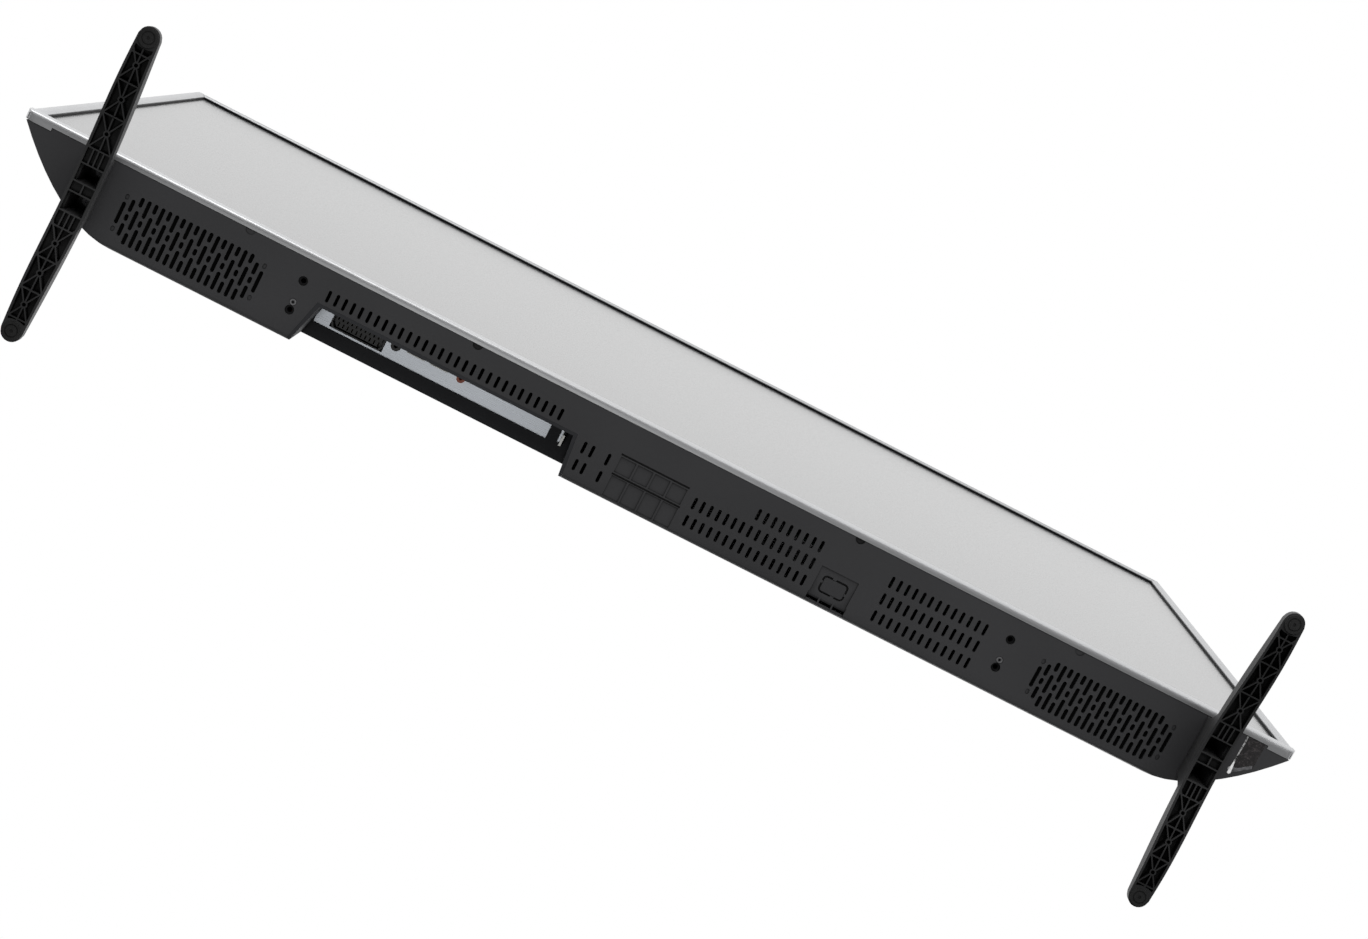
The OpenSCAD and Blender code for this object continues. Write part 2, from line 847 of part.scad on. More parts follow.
card_w = 56;
card_t = 7;
card_l = 48;
card_mouth_w = 54.4;
card_mouth_t = 5.4;
usb_w = 13.4;
usb_t = 6.4;
headphone_t = 7;
headphone_y = hump_d - cover_wall - 0.5 - headphone_t / 2;
headphone_r = 1.8;
network_w = 16;
network_t = 13.4;
network_l = 18;
antenna_y = 8;
antenna_r = 4.7;
antenna_l = 9;

module card_slot() {
    color("dimgray") placed() side_socket(card_z) difference() {
        translate([-card_w / 2, 0, 0]) cube([card_w, card_t, card_l]);
        translate([-card_mouth_w / 2, (card_t - card_mouth_t) / 2, -1])
            cube([card_mouth_w, card_mouth_t, card_l - 3]);
    }
}

module usb_sockets() {
    color("silver") placed() for (z = usb_z) side_socket(z) shell_socket(usb_w, usb_t, 14, 1.8);
}

module headphone_socket() {
    color("black") placed() side_socket(headphone_z) difference() {
        translate([-headphone_t / 2, 0, 0]) cube([headphone_t, headphone_y + headphone_t / 2 - board_back, 14]);
        translate([0, headphone_y - board_back, -1]) cylinder(r = headphone_r, h = 13);
    }
}

module network_socket() {
    color("silver") placed() side_socket(network_z) difference() {
        translate([-network_w / 2, 0, 0]) cube([network_w, network_t, network_l]);
        translate([-6, 2, -1]) cube([12, 7.6, 13]);
        translate([-3, 9, -1]) cube([6, 2.4, 13]);
    }
}

module antenna_socket() {
    color("silver") placed() side_socket(antenna_z) difference() {
        union() {
            translate([-10, 0, 3 + seat]) cube([20, 15, 30]);
            translate([0, antenna_y, 3.5 - antenna_l]) cylinder(r = antenna_r, h = antenna_l);
        }
        translate([0, antenna_y, 2 - antenna_l]) cylinder(r = 1.2, h = 8);
    }
}

// Power supply

module power_board() {
    color("darkgreen") placed() {
        block(power_x0, power_x1, board_y, board_back, power_z0, power_z1);
        block(power_x0 + 60, power_x0 + 100, board_back, board_back + 8, power_z1 - 14, power_z1 - 4);
        rod_side(board_back + 2.8, inlet_z + 26, inlet_x - 10, inlet_x + 10, 3);
        block(inlet_x + 10, inlet_x + 26, board_back, board_back + 13, inlet_z + 30, inlet_z + 48);
    }
}

module transformers() {
    color("goldenrod") placed() for (p = [[150, 190, 34], [205, 200, 40]]) {
        block(p[0], p[0] + p[2], board_back, board_back + 4, p[1], p[1] + p[2]);
        block(p[0] + 5, p[0] + p[2] - 5, board_back + 4, board_back + 24, p[1], p[1] + p[2]);
        block(p[0], p[0] + p[2], board_back + 8, board_back + 20, p[1] + 7, p[1] + p[2] - 7);
    }
}

module power_capacitors() {
    color("midnightblue") placed() {
        for (z = [150, 172]) translate([200, board_back + 9, z]) rotate([0, 90, 0]) cylinder(r = 9, h = 38);
        for (p = [[135, 245], [135, 260], [152, 245], [152, 260], [170, 252]])
            rod_back(p[0], p[1], board_back, board_back + 18, 5);
    }
}

module power_heatsinks() {
    color("silver") placed() {
        for (x = [192, 262]) {
            block(x, x + 2, board_back, board_back + 24, 250, 285);
            block(x, x + 14, board_back + 22, board_back + 24, 250, 285);
        }
        block(130, 170, board_back, board_back + 22, 120, 122);
        block(130, 170, board_back + 20, board_back + 22, 122, 134);
    }
}

inlet_mouth_l = 16;

// Outline of a two pin inlet: two round lobes joined
module inlet_mouth() {
    for (s = [-1, 1]) translate([s * pin_gap / 2, 0]) circle(r = 4.1);
    square([pin_gap, 8.2 - 1], center = true);
}

module mains_inlet() {
    y1 = hump_d;
    color("black") placed() difference() {
        union() {
            block(inlet_x - inlet_w / 2 + 2, inlet_x + inlet_w / 2 - 2, y1 - inlet_l, y1,
                inlet_z - inlet_h / 2 + 2, inlet_z + inlet_h / 2 - 2);
            block(inlet_x - inlet_w / 2, inlet_x + inlet_w / 2, y1 - cover_wall - 2, y1 - cover_wall - seat,
                inlet_z - inlet_h / 2, inlet_z + inlet_h / 2);
        }
        difference() {
            translate([inlet_x, 0, inlet_z]) front_view(y1 - inlet_mouth_l, inlet_mouth_l + 1) inlet_mouth();
            for (s = [-1, 1]) rod_back(inlet_x + s * pin_gap / 2, inlet_z, y1 - inlet_mouth_l - 1, y1 - 4, 1.2);
        }
    }
}

// Loudspeakers

speaker_x0 = grille_x1 - 112;
speaker_x1 = grille_x1 - 2;
speaker_y0 = bay_front;
speaker_y1 = cover_d - cover_wall - 2.5;
speaker_z0 = floor_z + 3;
speaker_z1 = 58;
speaker_t = 2;
driver_l = 70;
driver_w = 26;

module driver_outline(grow) {
    for (s = [-1, 1]) translate([s * (driver_l - driver_w) / 2, 0]) circle(r = driver_w / 2 + grow);
    square([driver_l - driver_w, driver_w + 2 * grow], center = true);
}

module at_drivers(z) {
    both_sides() translate([(speaker_x0 + speaker_x1) / 2, (speaker_y0 + speaker_y1) / 2, z]) children();
}

module speaker_boxes() {
    color("black") placed() difference() {
        both_sides() block(speaker_x0, speaker_x1, speaker_y0, speaker_y1, speaker_z0, speaker_z1);
        both_sides() block(speaker_x0 + speaker_t, speaker_x1 - speaker_t, speaker_y0 + speaker_t,
            speaker_y1 - speaker_t, speaker_z0 + speaker_t, speaker_z1 - speaker_t);
        at_drivers(speaker_z0 - 1) linear_extrude(speaker_t + 2) driver_outline(-2);
    }
}

module speaker_drivers() {
    frame_h = 1.2;
    z0 = speaker_z0 - frame_h;
    color("dimgray") placed() at_drivers(z0) {
        difference() {
            linear_extrude(frame_h - seat) driver_outline(1);
            translate([0, 0, -1]) linear_extrude(frame_h + 2) driver_outline(-2.5);
        }
        translate([0, 0, 0.4]) linear_extrude(frame_h + 5) difference() {
            driver_outline(-2.2);
            driver_outline(-3.4);
        }
        translate([0, 0, frame_h + 3.4]) linear_extrude(2) driver_outline(-3);
        translate([0, 0, frame_h + 5.4 - eps]) cylinder(r = 9, h = 12);
        translate([0, 0, frame_h + 17.4 - eps]) cylinder(r = 11.5, h = 5);
    }
}

dust_screen_t = 0.4;

module dust_screens() {
    color("black") placed() both_sides()
        block(grille_x1 - (grille_cols - 1) * grille_pitch - 4, grille_x1 + 4,
            grille_even[0][0] - 3, grille_even[2][1] + 1.2, floor_z, floor_z + dust_screen_t);
}

// Wiring

wire_r = 1.1;
knee_w = 3;
plug_w = 9;
plug_t = 6;

// A lead that runs along the axes, with a small clip at each corner
module wire(path) {
    for (i = [0:len(path) - 2]) wire_run(path[i], path[i + 1]);
    for (i = [1:len(path) - 2]) translate(path[i]) cube(knee_w, center = true);
}

module wire_run(a, b) {
    if (a[0] != b[0]) rod_side(a[1], a[2], min(a[0], b[0]), max(a[0], b[0]), wire_r);
    if (a[1] != b[1]) rod_back(a[0], a[2], min(a[1], b[1]), max(a[1], b[1]), wire_r);
    if (a[2] != b[2]) rod(a[0], a[1], min(a[2], b[2]), max(a[2], b[2]), wire_r);
}

module plug(x, z) {
    block(x - plug_w / 2, x + plug_w / 2, board_back + seat, board_back + 8, z - plug_t / 2, z + plug_t / 2);
}

module speaker_plug(x, y) {
    block(x - plug_t / 2, x + plug_t / 2, y - plug_w / 2, y + plug_w / 2, speaker_z1 + seat, speaker_z1 + 6);
}

module wiring() {
    y = board_back + 4;
    far_y = y + 14;
    low = 67;
    box_x = speaker_x0 + 10;
    box_z = speaker_z1 + 3;
    plug_x = board_x1 - 8;
    plug_z = [96, 80, board_z1 - 14];
    power_x = power_x0 + 20;
    top_z = 330;
    color("crimson") placed() {
        wire([[plug_x, y, plug_z[0]], [-96, y, plug_z[0]], [-96, y, 78], [box_x, y, 78], [box_x, y, box_z]]);
        wire([[plug_x, y, plug_z[1]], [plug_x, far_y, plug_z[1]], [plug_x, far_y, low],
            [-box_x, far_y, low], [-box_x, far_y, box_z]]);
        wire([[plug_x, y, plug_z[2]], [plug_x, y, top_z], [power_x, y, top_z], [power_x, y, power_z1 - 8]]);
        for (z = plug_z) plug(plug_x, z);
        plug(power_x, power_z1 - 8);
        speaker_plug(box_x, y);
        speaker_plug(-box_x, far_y);
    }
}

// Controls

module control_button() {
    z0 = cover_z0 + panel_sink - button_proud;
    color("black") placed() translate([panel_x, panel_y, 0]) {
        translate([0, 0, z0]) linear_extrude(floor_z - z0 + 0.2 + eps) round_rect(button_w, button_l, button_r);
        translate([0, 0, floor_z + 0.2]) linear_extrude(button_flange_t)
            square([button_w + 2 * (button_gap + button_flange), button_l + 2 * (button_gap + button_flange)],
                center = true);
        translate([0, 0, floor_z + 0.2 + button_flange_t - eps]) linear_extrude(button_stem_h)
            square([button_stem_w, button_stem_w], center = true);
    }
}

control_w = 36;
control_l = 20;
control_post_r = 2.2;

module control_board() {
    color("darkgreen") placed() translate([panel_x, panel_y, 0]) {
        translate([-control_w / 2, -control_l / 2, control_z]) cube([control_w, control_l, control_t]);
        translate([-3.1, -3.1, control_z - switch_h + 0.6]) cube([6.2, 6.2, switch_h - 0.6 + eps]);
        translate([0, 0, control_z - switch_h]) cylinder(r = 1.7, h = 1);
        translate([-6, -4, control_z + control_t - eps]) cube([12, 6, 5]);
    }
}

module window_outline(grow) {
    g = grow;
    polygon([[window_x0 - g, window_y0 - g], [window_x1 + g, window_y0 - g],
        [window_x1 + g, window_y2 + g], [window_x0 - g, window_y1 + g]]);
}

module ir_window() {
    color([0.3, 0.26, 0.26, 0.8]) placed() translate([0, 0, cover_z0 - 0.1])
        linear_extrude(cover_wall + 0.1) window_outline(0);
}

guide_head_r = 1.5;

module guide_outline(grow) {
    translate([window_x0 - guide_w - 0.1 - grow, window_y0 - grow])
        square([guide_w + 2 * grow, window_y1 - window_y0 - 2 + 2 * grow]);
}

module status_light_guide() {
    color("white") placed() difference() {
        union() {
            translate([0, 0, cover_z0]) linear_extrude(cover_wall) guide_outline(0);
            rod(window_x0 - guide_w - 0.1, window_y1 - 3, cover_z0, ir_z - seat, guide_head_r);
        }
        translate([0, 0, cover_z0 - 1]) linear_extrude(cover_wall + 1.2) window_outline(0.05);
    }
}

ir_z = floor_z + 4.5;
ir_t = 1.2;

module ir_board() {
    color("darkgreen") placed() {
        block(window_x0 - 8, window_x1 - 1, source_y0 + 2, 28, ir_z, ir_z + ir_t);
        block(window_x0 - 8, window_x0 + 2, 27, window_y1 - 0.5, ir_z, ir_z + ir_t);
        translate([window_x0 + 6, 18, ir_z - 3.6]) cylinder(r = 2.6, h = 3.6 + eps);
        block(window_x0 + 2.5, window_x0 + 9.5, 16, 22, ir_z - 2.2, ir_z + eps);
    }
}

// Rear cover

function end_curve(half, depth, front, run) = [for (i = [0:cover_steps])
    let (u = i / cover_steps) [half - run * (1 - u), depth - (depth - front) * pow(u, cover_power)]];

module plan_shape(inset, front) {
    right = end_curve(half_w - cover_step - inset, cover_d - inset, cover_front, end_run);
    edge = [[half_w - cover_step - inset, front]];
    polygon(concat(right, edge, mirrored(edge), mirrored(right)));
}

module side_shape(inset, front) {
    z0 = cover_z0 + inset;
    top = set_h - 1.5 - inset;
    d = cover_d - inset;
    u = upper_d - inset;
    polygon(concat(
        [[front, z0]],
        arc(d - cover_edge_r, z0 + cover_edge_r, cover_edge_r, 270, 360, 5),
        [[d, upper_knee_z], [u, upper_z]],
        [for (i = [0:cover_steps]) let (t = i / cover_steps)
            [u - (u - cover_front) * pow(t, cover_power), top - top_run * (1 - t)]],
        [[front, top]]));
}

module tub(inset, front) {
    intersection() {
        translate([0, 0, -1]) linear_extrude(set_h + 2) plan_shape(inset, front);
        side_view(set_w) side_shape(inset, front);
    }
}

module hump(inset) {
    w = hump_w / 2 - inset;
    s = hump_slope;
    y0 = cover_d - cover_wall - inset - 1;
    y1 = hump_d - inset;
    z0 = hump_z0 + inset;
    z1 = hump_top - inset;
    intersection() {
        linear_extrude(set_h) polygon([[-w - s, y0], [w + s, y0], [w, y1], [-w, y1]]);
        side_view(set_w) polygon([[y0, z0], [y1, z0 + s], [y1, z1 - s], [y0, z1]]);
    }
}

// Plan of the terminal bay; grow adds the thickness of its walls
module bay_plan(grow) {
    back = hump_d + 10;
    polygon([
        [bay_x0 - grow, bay_front - grow], [bay_x1 + grow, bay_front - grow],
        [bay_x1 + bay_flare_right + grow, cover_d], [bay_x1 + bay_flare_right + grow, back],
        [bay_x0 - bay_flare_left - grow, back], [bay_x0 - bay_flare_left - grow, cover_d]]);
}

module side_bay_plan(grow) {
    back = hump_d + 10;
    flat_x = side_plate_x - side_bay_flat;
    slope_x = flat_x - side_bay_slope;
    polygon([
        [side_plate_x + grow, side_bay_y - grow], [flat_x - grow / 2, side_bay_y - grow],
        [slope_x - grow, back], [side_plate_x + grow, back]]);
}

module side_bay(grow) {
    translate([0, 0, side_bay_z0 - grow]) linear_extrude(side_bay_z1 - side_bay_z0 + 2 * grow)
        side_bay_plan(grow);
}

module screw_places() {
    for (z = well_z) both_sides() translate([half_w - well_inset, 0, z]) children();
    for (x = well_top_x) translate([x, 0, well_top_z]) children();
}

module screw_holes(y0, y1) {
    screw_places() rod_back(0, 0, y0, y1, screw_r + hole_slack);
}

well_y0 = tray_y + tray_t + 0.1;

module wells(r, y0) {
    screw_places() rod_back(0, 0, y0, cover_d, r);
}

module vent_row(x0, count, row) {
    for (i = [0:count - 1]) slot(x0 + i * vent_pitch, row[0], row[1], vent_w);
}

module vents() {
    left_x = -279.25;
    vent_row(left_x, 30, row_a);
    for (row = [row_b, row_c]) {
        vent_row(-56.75, 2, row);
        vent_row(-36.5, 1, row);
        vent_row(37.5, 16, row);
        vent_row(199.5, 13, row);
    }
    vent_row(84.75, 9, row_a);
    vent_row(199.5, 13, row_a);
}

function grille_slots(i) =
    i == 0 || i == grille_cols - 1 ? grille_end :
    i == 1 || i == grille_cols - 2 ? grille_second :
    i % 2 == 0 ? grille_even : grille_odd;

module grille() {
    for (i = [0:grille_cols - 1]) for (s = grille_slots(i))
        slot(grille_x1 - i * grille_pitch, s[0], s[1], grille_slot_w);
}

module grille_blind() {
    for (i = [0, grille_cols - 1]) for (s = blind_end)
        slot(grille_x1 - i * grille_pitch, s[0], s[1], grille_slot_w);
}

upper_vent_z0 = 458;
upper_vent_l = 50;
upper_vent_w = 3;
upper_vent_pitch = 8;
upper_vent_count = 26;
upper_vent_x = 70;

module upper_vents() {
    for (i = [0:upper_vent_count - 1])
        translate([upper_vent_x + i * upper_vent_pitch, upper_vent_z0]) square([upper_vent_w, upper_vent_l]);
}

grid_x = 29;
grid_cols = 4;
grid_line = 1.5;
grid_depth = 1;
groove_depth = 1.5;
grid_rows = [[32, 45], [48, 65]];
grid_lines_y = [29.5, 46];

module embossed_grid() {
    cell = 2 * grid_x / grid_cols;
    for (row = grid_rows) for (i = [0:grid_cols - 1])
        translate([-grid_x + i * cell + grid_line / 2, row[0]])
            square([cell - grid_line, row[1] - row[0]]);
}

module grid_grooves() {
    for (y = grid_lines_y) translate([-grid_x, y]) square([2 * grid_x, grid_line]);
}

latch_r = 4;
latch_depth = 2.1;
latch_faint = 0.8;
latch_x = 163;
latch_faint_x = 353;

module latch_marks(x, depth) {
    both_sides() rod(x, cover_front_bottom, cover_z0 - 1, cover_z0 + depth, latch_r);
}

module spare_holes(r, z0, z1) {
    both_sides() for (i = [0, 1]) rod(spare_x, spare_y0 + i * hole_pitch, z0, z1, r);
}

module foot_holes(r, z0, z1) {
    both_sides() for (i = [0, 1]) rod(foot_x, foot_screw_y0 + i * hole_pitch, z0, z1, r);
}

spare_pin_y = spare_y0 + hole_pitch - 6.5;
spare_pin_r = 2.9;
spare_pad_w = 19;
spare_pad_l = 46;
spare_pad_depth = 0.4;

module scoops() {
    for (i = [-1, 0, 1]) translate([panel_x + i * scoop_pitch, 0, cover_z0])
        side_view(scoop_w) polygon([[scoop_y0, -1], [scoop_y1, -1], [scoop_y1, 1.2], [scoop_slot_y1, 1.4],
            [scoop_slot_y1, cover_wall + 3], [scoop_slot_y0, cover_wall + 3], [scoop_slot_y0, 2], [scoop_y0, 0.2]]);
}

module button_guides() {
    rib = button_gap - 0.3;
    for (s = [-1, 1]) {
        translate([panel_x + s * 2 - 1.5, panel_y + s * (button_l / 2 + button_gap - rib / 2) - rib / 2,
            cover_z0 + panel_sink]) cube([3, rib, cover_wall - panel_sink]);
        translate([panel_x + s * (button_w / 2 + button_gap - rib / 2) - rib / 2, panel_y + s - 1,
            cover_z0 + panel_sink]) cube([rib, 2, cover_wall - panel_sink]);
    }
}

module cover_solid() {
    difference() {
        union() {
            tub(0, cover_front);
            hump(0);
        }
        difference() {
            union() {
                tub(cover_wall, -1);
                hump(cover_wall);
            }
            wells(well_r + well_wall, well_y0);
        }
    }
    bottom_x = half_w - lip_l - 0.3;
    block(-bottom_x, bottom_x, cover_front_bottom, cover_front + 0.5, cover_z0, floor_z);
    both_sides() rod(spare_x, spare_pin_y, cover_z0 - 0.1, floor_z, spare_pin_r);
    for (s = [-1, 1]) rod(panel_x + s * (control_w / 2 - 3), panel_y, floor_z - 1, control_z - seat, control_post_r);
    rod(window_x0 - 5, 18, floor_z - 1, ir_z - seat, 1.6);
}

module bottom_cuts() {
    translate([0, 0, -1]) linear_extrude(floor_z + 1.1) vents();
    both_sides() translate([0, 0, -1]) linear_extrude(floor_z + 1.1) grille();
    both_sides() translate([0, 0, cover_z0 - 1]) linear_extrude(1.8) grille_blind();
    translate([0, 0, cover_z0 - 1]) linear_extrude(1 + grid_depth) embossed_grid();
    translate([0, 0, cover_z0 - 1]) linear_extrude(1 + groove_depth) grid_grooves();
    latch_marks(latch_x, latch_depth);
    latch_marks(latch_faint_x, latch_faint);
    spare_holes(spare_hole_d / 2, -1, floor_z + 1);
    both_sides() rod(spare_x, spare_pin_y, -1, cover_z0 + 1.5, 0.9);
    both_sides() difference() {
        rod(spare_x, spare_pin_y, -1, cover_z0 + 0.9, spare_pin_r);
        rod(spare_x, spare_pin_y, -2, cover_z0 + 2, spare_pin_r - 0.8);
    }
    foot_holes(foot_screw_d / 2 + 0.3, -1, floor_z + 1);
    translate([panel_x - panel_w / 2, panel_y0, cover_z0 - 1])
        cube([panel_w, panel_y1 - panel_y0, 1 + panel_sink]);
    scoops();
    translate([panel_x, panel_y, -1]) linear_extrude(floor_z + 2)
        round_rect(button_w + 2 * button_gap, button_l + 2 * button_gap, button_r + button_gap);
    translate([0, 0, -1]) linear_extrude(floor_z + 2) window_outline(0.1);
    translate([0, 0, -1]) linear_extrude(floor_z + 2) guide_outline(0.1);
    rod(window_x0 - guide_w - 0.1, window_y1 - 3, -1, floor_z + 1, guide_head_r + 0.1);
}

module bay_cuts() {
    grow = cover_wall + recess_gap;
    translate([0, 0, -1]) linear_extrude(bay_h + grow + 1) bay_plan(grow);
    side_bay(grow);
    both_sides() block(half_w - lip_l - cover_gap, half_w + 1, -1, lip_d + cover_gap, -1, bottom_bar_h + cover_gap);
}

// The walls of the terminal bay, moulded apart and flush with the cover
module terminal_recess() {
    color([0.18, 0.18, 0.19]) placed() {
        difference() {
            intersection() {
                translate([0, 0, -1]) linear_extrude(bay_h + cover_wall + 1) bay_plan(cover_wall);
                side_view(set_w) side_shape(0, cover_front);
            }
            translate([0, 0, -2]) linear_extrude(bay_h + 2) bay_plan(0);
            block(bay_x0 - 5, bay_window_x1, bay_window_y0, bay_window_y1, bay_h - 1, plate_z + 1);
            block(tab_x - 2, tab_x + tab_t + 1.5, tab_y0 - 1, tab_y1 + 1, bay_h - 1, plate_z + 1);
        }
        bay_rib();
    }
}

module side_recess() {
    color([0.18, 0.18, 0.19]) placed() difference() {
        intersection() {
            side_bay(cover_wall);
            union() {
                side_view(set_w) side_shape(0, cover_front);
                hump(0);
            }
        }
        side_bay(0);
        block(side_plate_x - 1, side_plate_x + cover_wall + 1, board_back - 0.4, side_plate_y1 - 0.2,
            side_bay_z0 + 6, side_bay_z1 - 6);
    }
}

module back_cuts() {
    both_sides() front_view(0, cover_d + 1) upper_vents();
    for (x = [-1, 1]) for (z = [-1, 1])
        rod_back(x * wall_pitch / 2, wall_z + z * wall_pitch / 2, hump_d - cover_wall - 1, hump_d + 1,
            wall_post_r + 0.5);
    block(inlet_x - inlet_w / 2 + 1.9, inlet_x + inlet_w / 2 - 1.9, hump_d - cover_wall - 1, hump_d + 1,
        inlet_z - inlet_h / 2 + 1.9, inlet_z + inlet_h / 2 - 1.9);
    wells(well_r, well_y0 + well_floor);
    screw_holes(well_y0 - 1, well_y0 + well_floor + 1);
}

// A rib in front of the earth clip
module bay_rib() {
    block(tab_x + 0.4, tab_x + 1.5, bay_front - eps, tab_y0 - 1.3, bay_h - 17, bay_h + eps);
}

module rear_cover() {
    color([0.18, 0.18, 0.19]) placed() {
        difference() {
            cover_solid();
            bottom_cuts();
            bay_cuts();
            back_cuts();
        }
        button_guides();
    }
}

module cover_screws() {
    y = well_y0 + well_floor;
    color("dimgray") placed() screw_places() {
        rod_back(0, 0, ledge_y, y + eps, screw_r);
        difference() {
            rod_back(0, 0, y + seat, y + screw_head_t, screw_head_r);
            rod_back(0, 0, y + screw_head_t - 1, y + screw_head_t + 1, 1);
        }
        rod_back(0, 0, y, y + seat + eps, screw_r);
    }
}

wall_post_r = 8;
wall_thread_l = 25;

module wall_mount_posts() {
    color("silver") placed() for (x = [-1, 1]) for (z = [-1, 1]) difference() {
        rod_back(x * wall_pitch / 2, wall_z + z * wall_pitch / 2, tray_back, hump_d - cover_wall + 0.5, wall_post_r);
        rod_back(x * wall_pitch / 2, wall_z + z * wall_pitch / 2,
            hump_d - cover_wall + 0.5 - wall_thread_l, hump_d, wall_hole_d / 2);
    }
}

insert_t = 8;
spare_plate_w = 12;
insert_thread_r = 2;

module spare_foot_plates() {
    color("silver") placed() difference() {
        both_sides() block(spare_x - spare_plate_w / 2, spare_x + spare_plate_w / 2, spare_y0 - 6,
            spare_y0 + hole_pitch + 7, floor_z, floor_z + insert_t);
        spare_holes(insert_thread_r, floor_z - 1, floor_z + insert_t + 1);
    }
}

module foot_brackets() {
    color("silver") placed() difference() {
        both_sides() block(foot_x - 12, foot_x + 12, foot_screw_y0 - 5.9, foot_screw_y0 + hole_pitch + 8,
            floor_z, floor_z + insert_t);
        foot_holes(foot_screw_d / 2 + hole_slack, floor_z - 1, floor_z + insert_t + 1);
    }
}

// Feet

function foot_s(y) = (y - foot_mid_y) / (foot_len / 2);
function foot_half_w(y) = foot_tip_r + (foot_w / 2 - foot_tip_r) * (1 - pow(foot_s(y), 2));
function foot_top_z(y) = foot_under + foot_tip_top + foot_rise * pow(cos(90 * foot_s(y)), 1.2);
function foot_arch_z(y) = abs(foot_s(y)) > arch_share ? foot_under
    : foot_under + arch_h * pow(cos(90 * foot_s(y) / arch_share), 2);

arch_share = 0.84;
foot_y0 = -foot_front;
foot_y1 = foot_len - foot_front;

module foot_plan(inset) {
    ys = [for (i = [0:foot_steps])
        foot_y0 + foot_tip_r + (foot_len - 2 * foot_tip_r) * i / foot_steps];
    r = foot_tip_r - inset;
    polygon(concat(
        [for (y = ys) [foot_half_w(y) - inset, y]],
        arc(0, foot_y1 - foot_tip_r, r, 10, 170, 10),
        [for (i = [foot_steps:-1:0]) [inset - foot_half_w(ys[i]), ys[i]]],
        arc(0, foot_y0 + foot_tip_r, r, 190, 350, 10)));
}

// Side view of the bar between its arch and its back, lowered by drop
module foot_bar_side(drop, under) {
    ys = [for (i = [0:foot_steps]) foot_y0 + foot_len * i / foot_steps];
    polygon(concat(
        [for (y = ys) [y, foot_top_z(y) - drop]],
        [for (i = [foot_steps:-1:0]) [ys[i], under == 0 ? foot_arch_z(ys[i]) : floor_plane - 1]]));
}

neck_y0 = 6;
neck_y1 = 56;
neck_flare_front = 18;
neck_flare_back = 7;
neck_root = 26;
neck_steps = 8;

module neck(inset) {
    top = cover_z0 - seat;
    root = foot_top_z(foot_mid_y) - 3;
    h = top - root;
    intersection() {
        side_view(2 * foot_w) polygon(concat(
            [for (i = [0:neck_steps]) let (t = i / neck_steps)
                [neck_y0 + inset - neck_flare_front * pow(1 - t, 2), root + h * t]],
            [for (i = [neck_steps:-1:0]) let (t = i / neck_steps)
                [neck_y1 - inset + neck_flare_back * pow(1 - t, 2), root + h * t]]));
        front_view(neck_y0 - neck_root, neck_y1 - neck_y0 + 2 * neck_root) polygon([
            [inset - neck_x0, root], [foot_w / 2 - 1 - inset, root], [neck_x1 - inset, top], [inset - neck_top_x0, top]]);
    }
}

cell_ribs = [-80, -57.5, -30, -2, 11, 25.3, 33.5, 49, 61, 86, 111, 134];
star_y = [-71.5, -44, -16, 73, 97, 122.5];
fine_cells = [[-2, 11], [49, 61]];
star_r = 2.6;
star_hole_r = 1.5;

// Ribs seen from below, as one flat pattern
module rib_plan() {
    for (y = cell_ribs) translate([-foot_w / 2, y - foot_rib / 2]) square([foot_w, foot_rib]);
    for (y = star_y) translate([0, y]) {
        circle(r = star_r);
        for (a = [-58, 58]) rotate(a) square([2 * foot_w, foot_rib], center = true);
        square([foot_rib, 26], center = true);
    }
    for (c = fine_cells) for (i = [-1, 0, 1])
        translate([i * 4 - foot_rib / 2, c[0]]) square([foot_rib, c[1] - c[0]]);
    translate([-foot_rib / 2, cell_ribs[5]]) square([foot_rib, cell_ribs[6] - cell_ribs[5]]);
}

module foot_hollow() {
    intersection() {
        translate([0, 0, floor_plane - 1]) linear_extrude(stand_h) difference() {
            foot_plan(foot_wall);
            rib_plan();
            for (y = [foot_y0 + pad_inset, foot_y1 - pad_inset]) translate([0, y]) circle(r = pad_r + 1);
        }
        side_view(2 * foot_w) foot_bar_side(foot_roof, 1);
    }
    intersection() {
        translate([0, 0, floor_plane - 1]) linear_extrude(stand_h) for (y = star_y)
            translate([0, y]) circle(r = star_hole_r);
        side_view(2 * foot_w) foot_bar_side(foot_roof, 1);
    }
}

// The two deep pockets through which the screws go
module foot_pockets() {
    pocket_top = cover_z0 - seat - neck_top_plate;
    for (c = [[cell_ribs[4], cell_ribs[5]], [cell_ribs[6], cell_ribs[7]]])
        front_view(c[0] + foot_rib / 2, c[1] - c[0] - foot_rib) polygon([[-pocket_x, floor_plane],
            [pocket_x, floor_plane], [pocket_x, pocket_top], [1 - neck_top_x0, pocket_top],
            [-pocket_x, foot_top_z(foot_mid_y) - 3]]);
}

module one_foot() {
    difference() {
        union() {
            intersection() {
                translate([0, 0, floor_plane - 1]) linear_extrude(stand_h) foot_plan(0);
                side_view(2 * foot_w) foot_bar_side(0, 0);
            }
            neck(0);
        }
        difference() {
            foot_hollow();
            intersection() {
                block(-foot_w, foot_w, foot_y0, foot_y1, floor_plane - 1, floor_plane + foot_roof + pad_t);
                translate([0, 0, floor_plane - 1]) linear_extrude(stand_h) for (y = [foot_y0, foot_y1])
                    translate([0, y]) circle(r = 2 * pad_inset);
            }
        }
        foot_pockets();
        for (i = [0, 1])
            rod(0, foot_screw_y0 + i * hole_pitch, -10, 1, foot_screw_d / 2 + 0.2);
    }
}

module foot_right() {
    color([0.1, 0.1, 0.1]) placed() translate([foot_x, 0, 0]) one_foot();
}

module foot_left() {
    mirror([1, 0, 0]) foot_right();
}

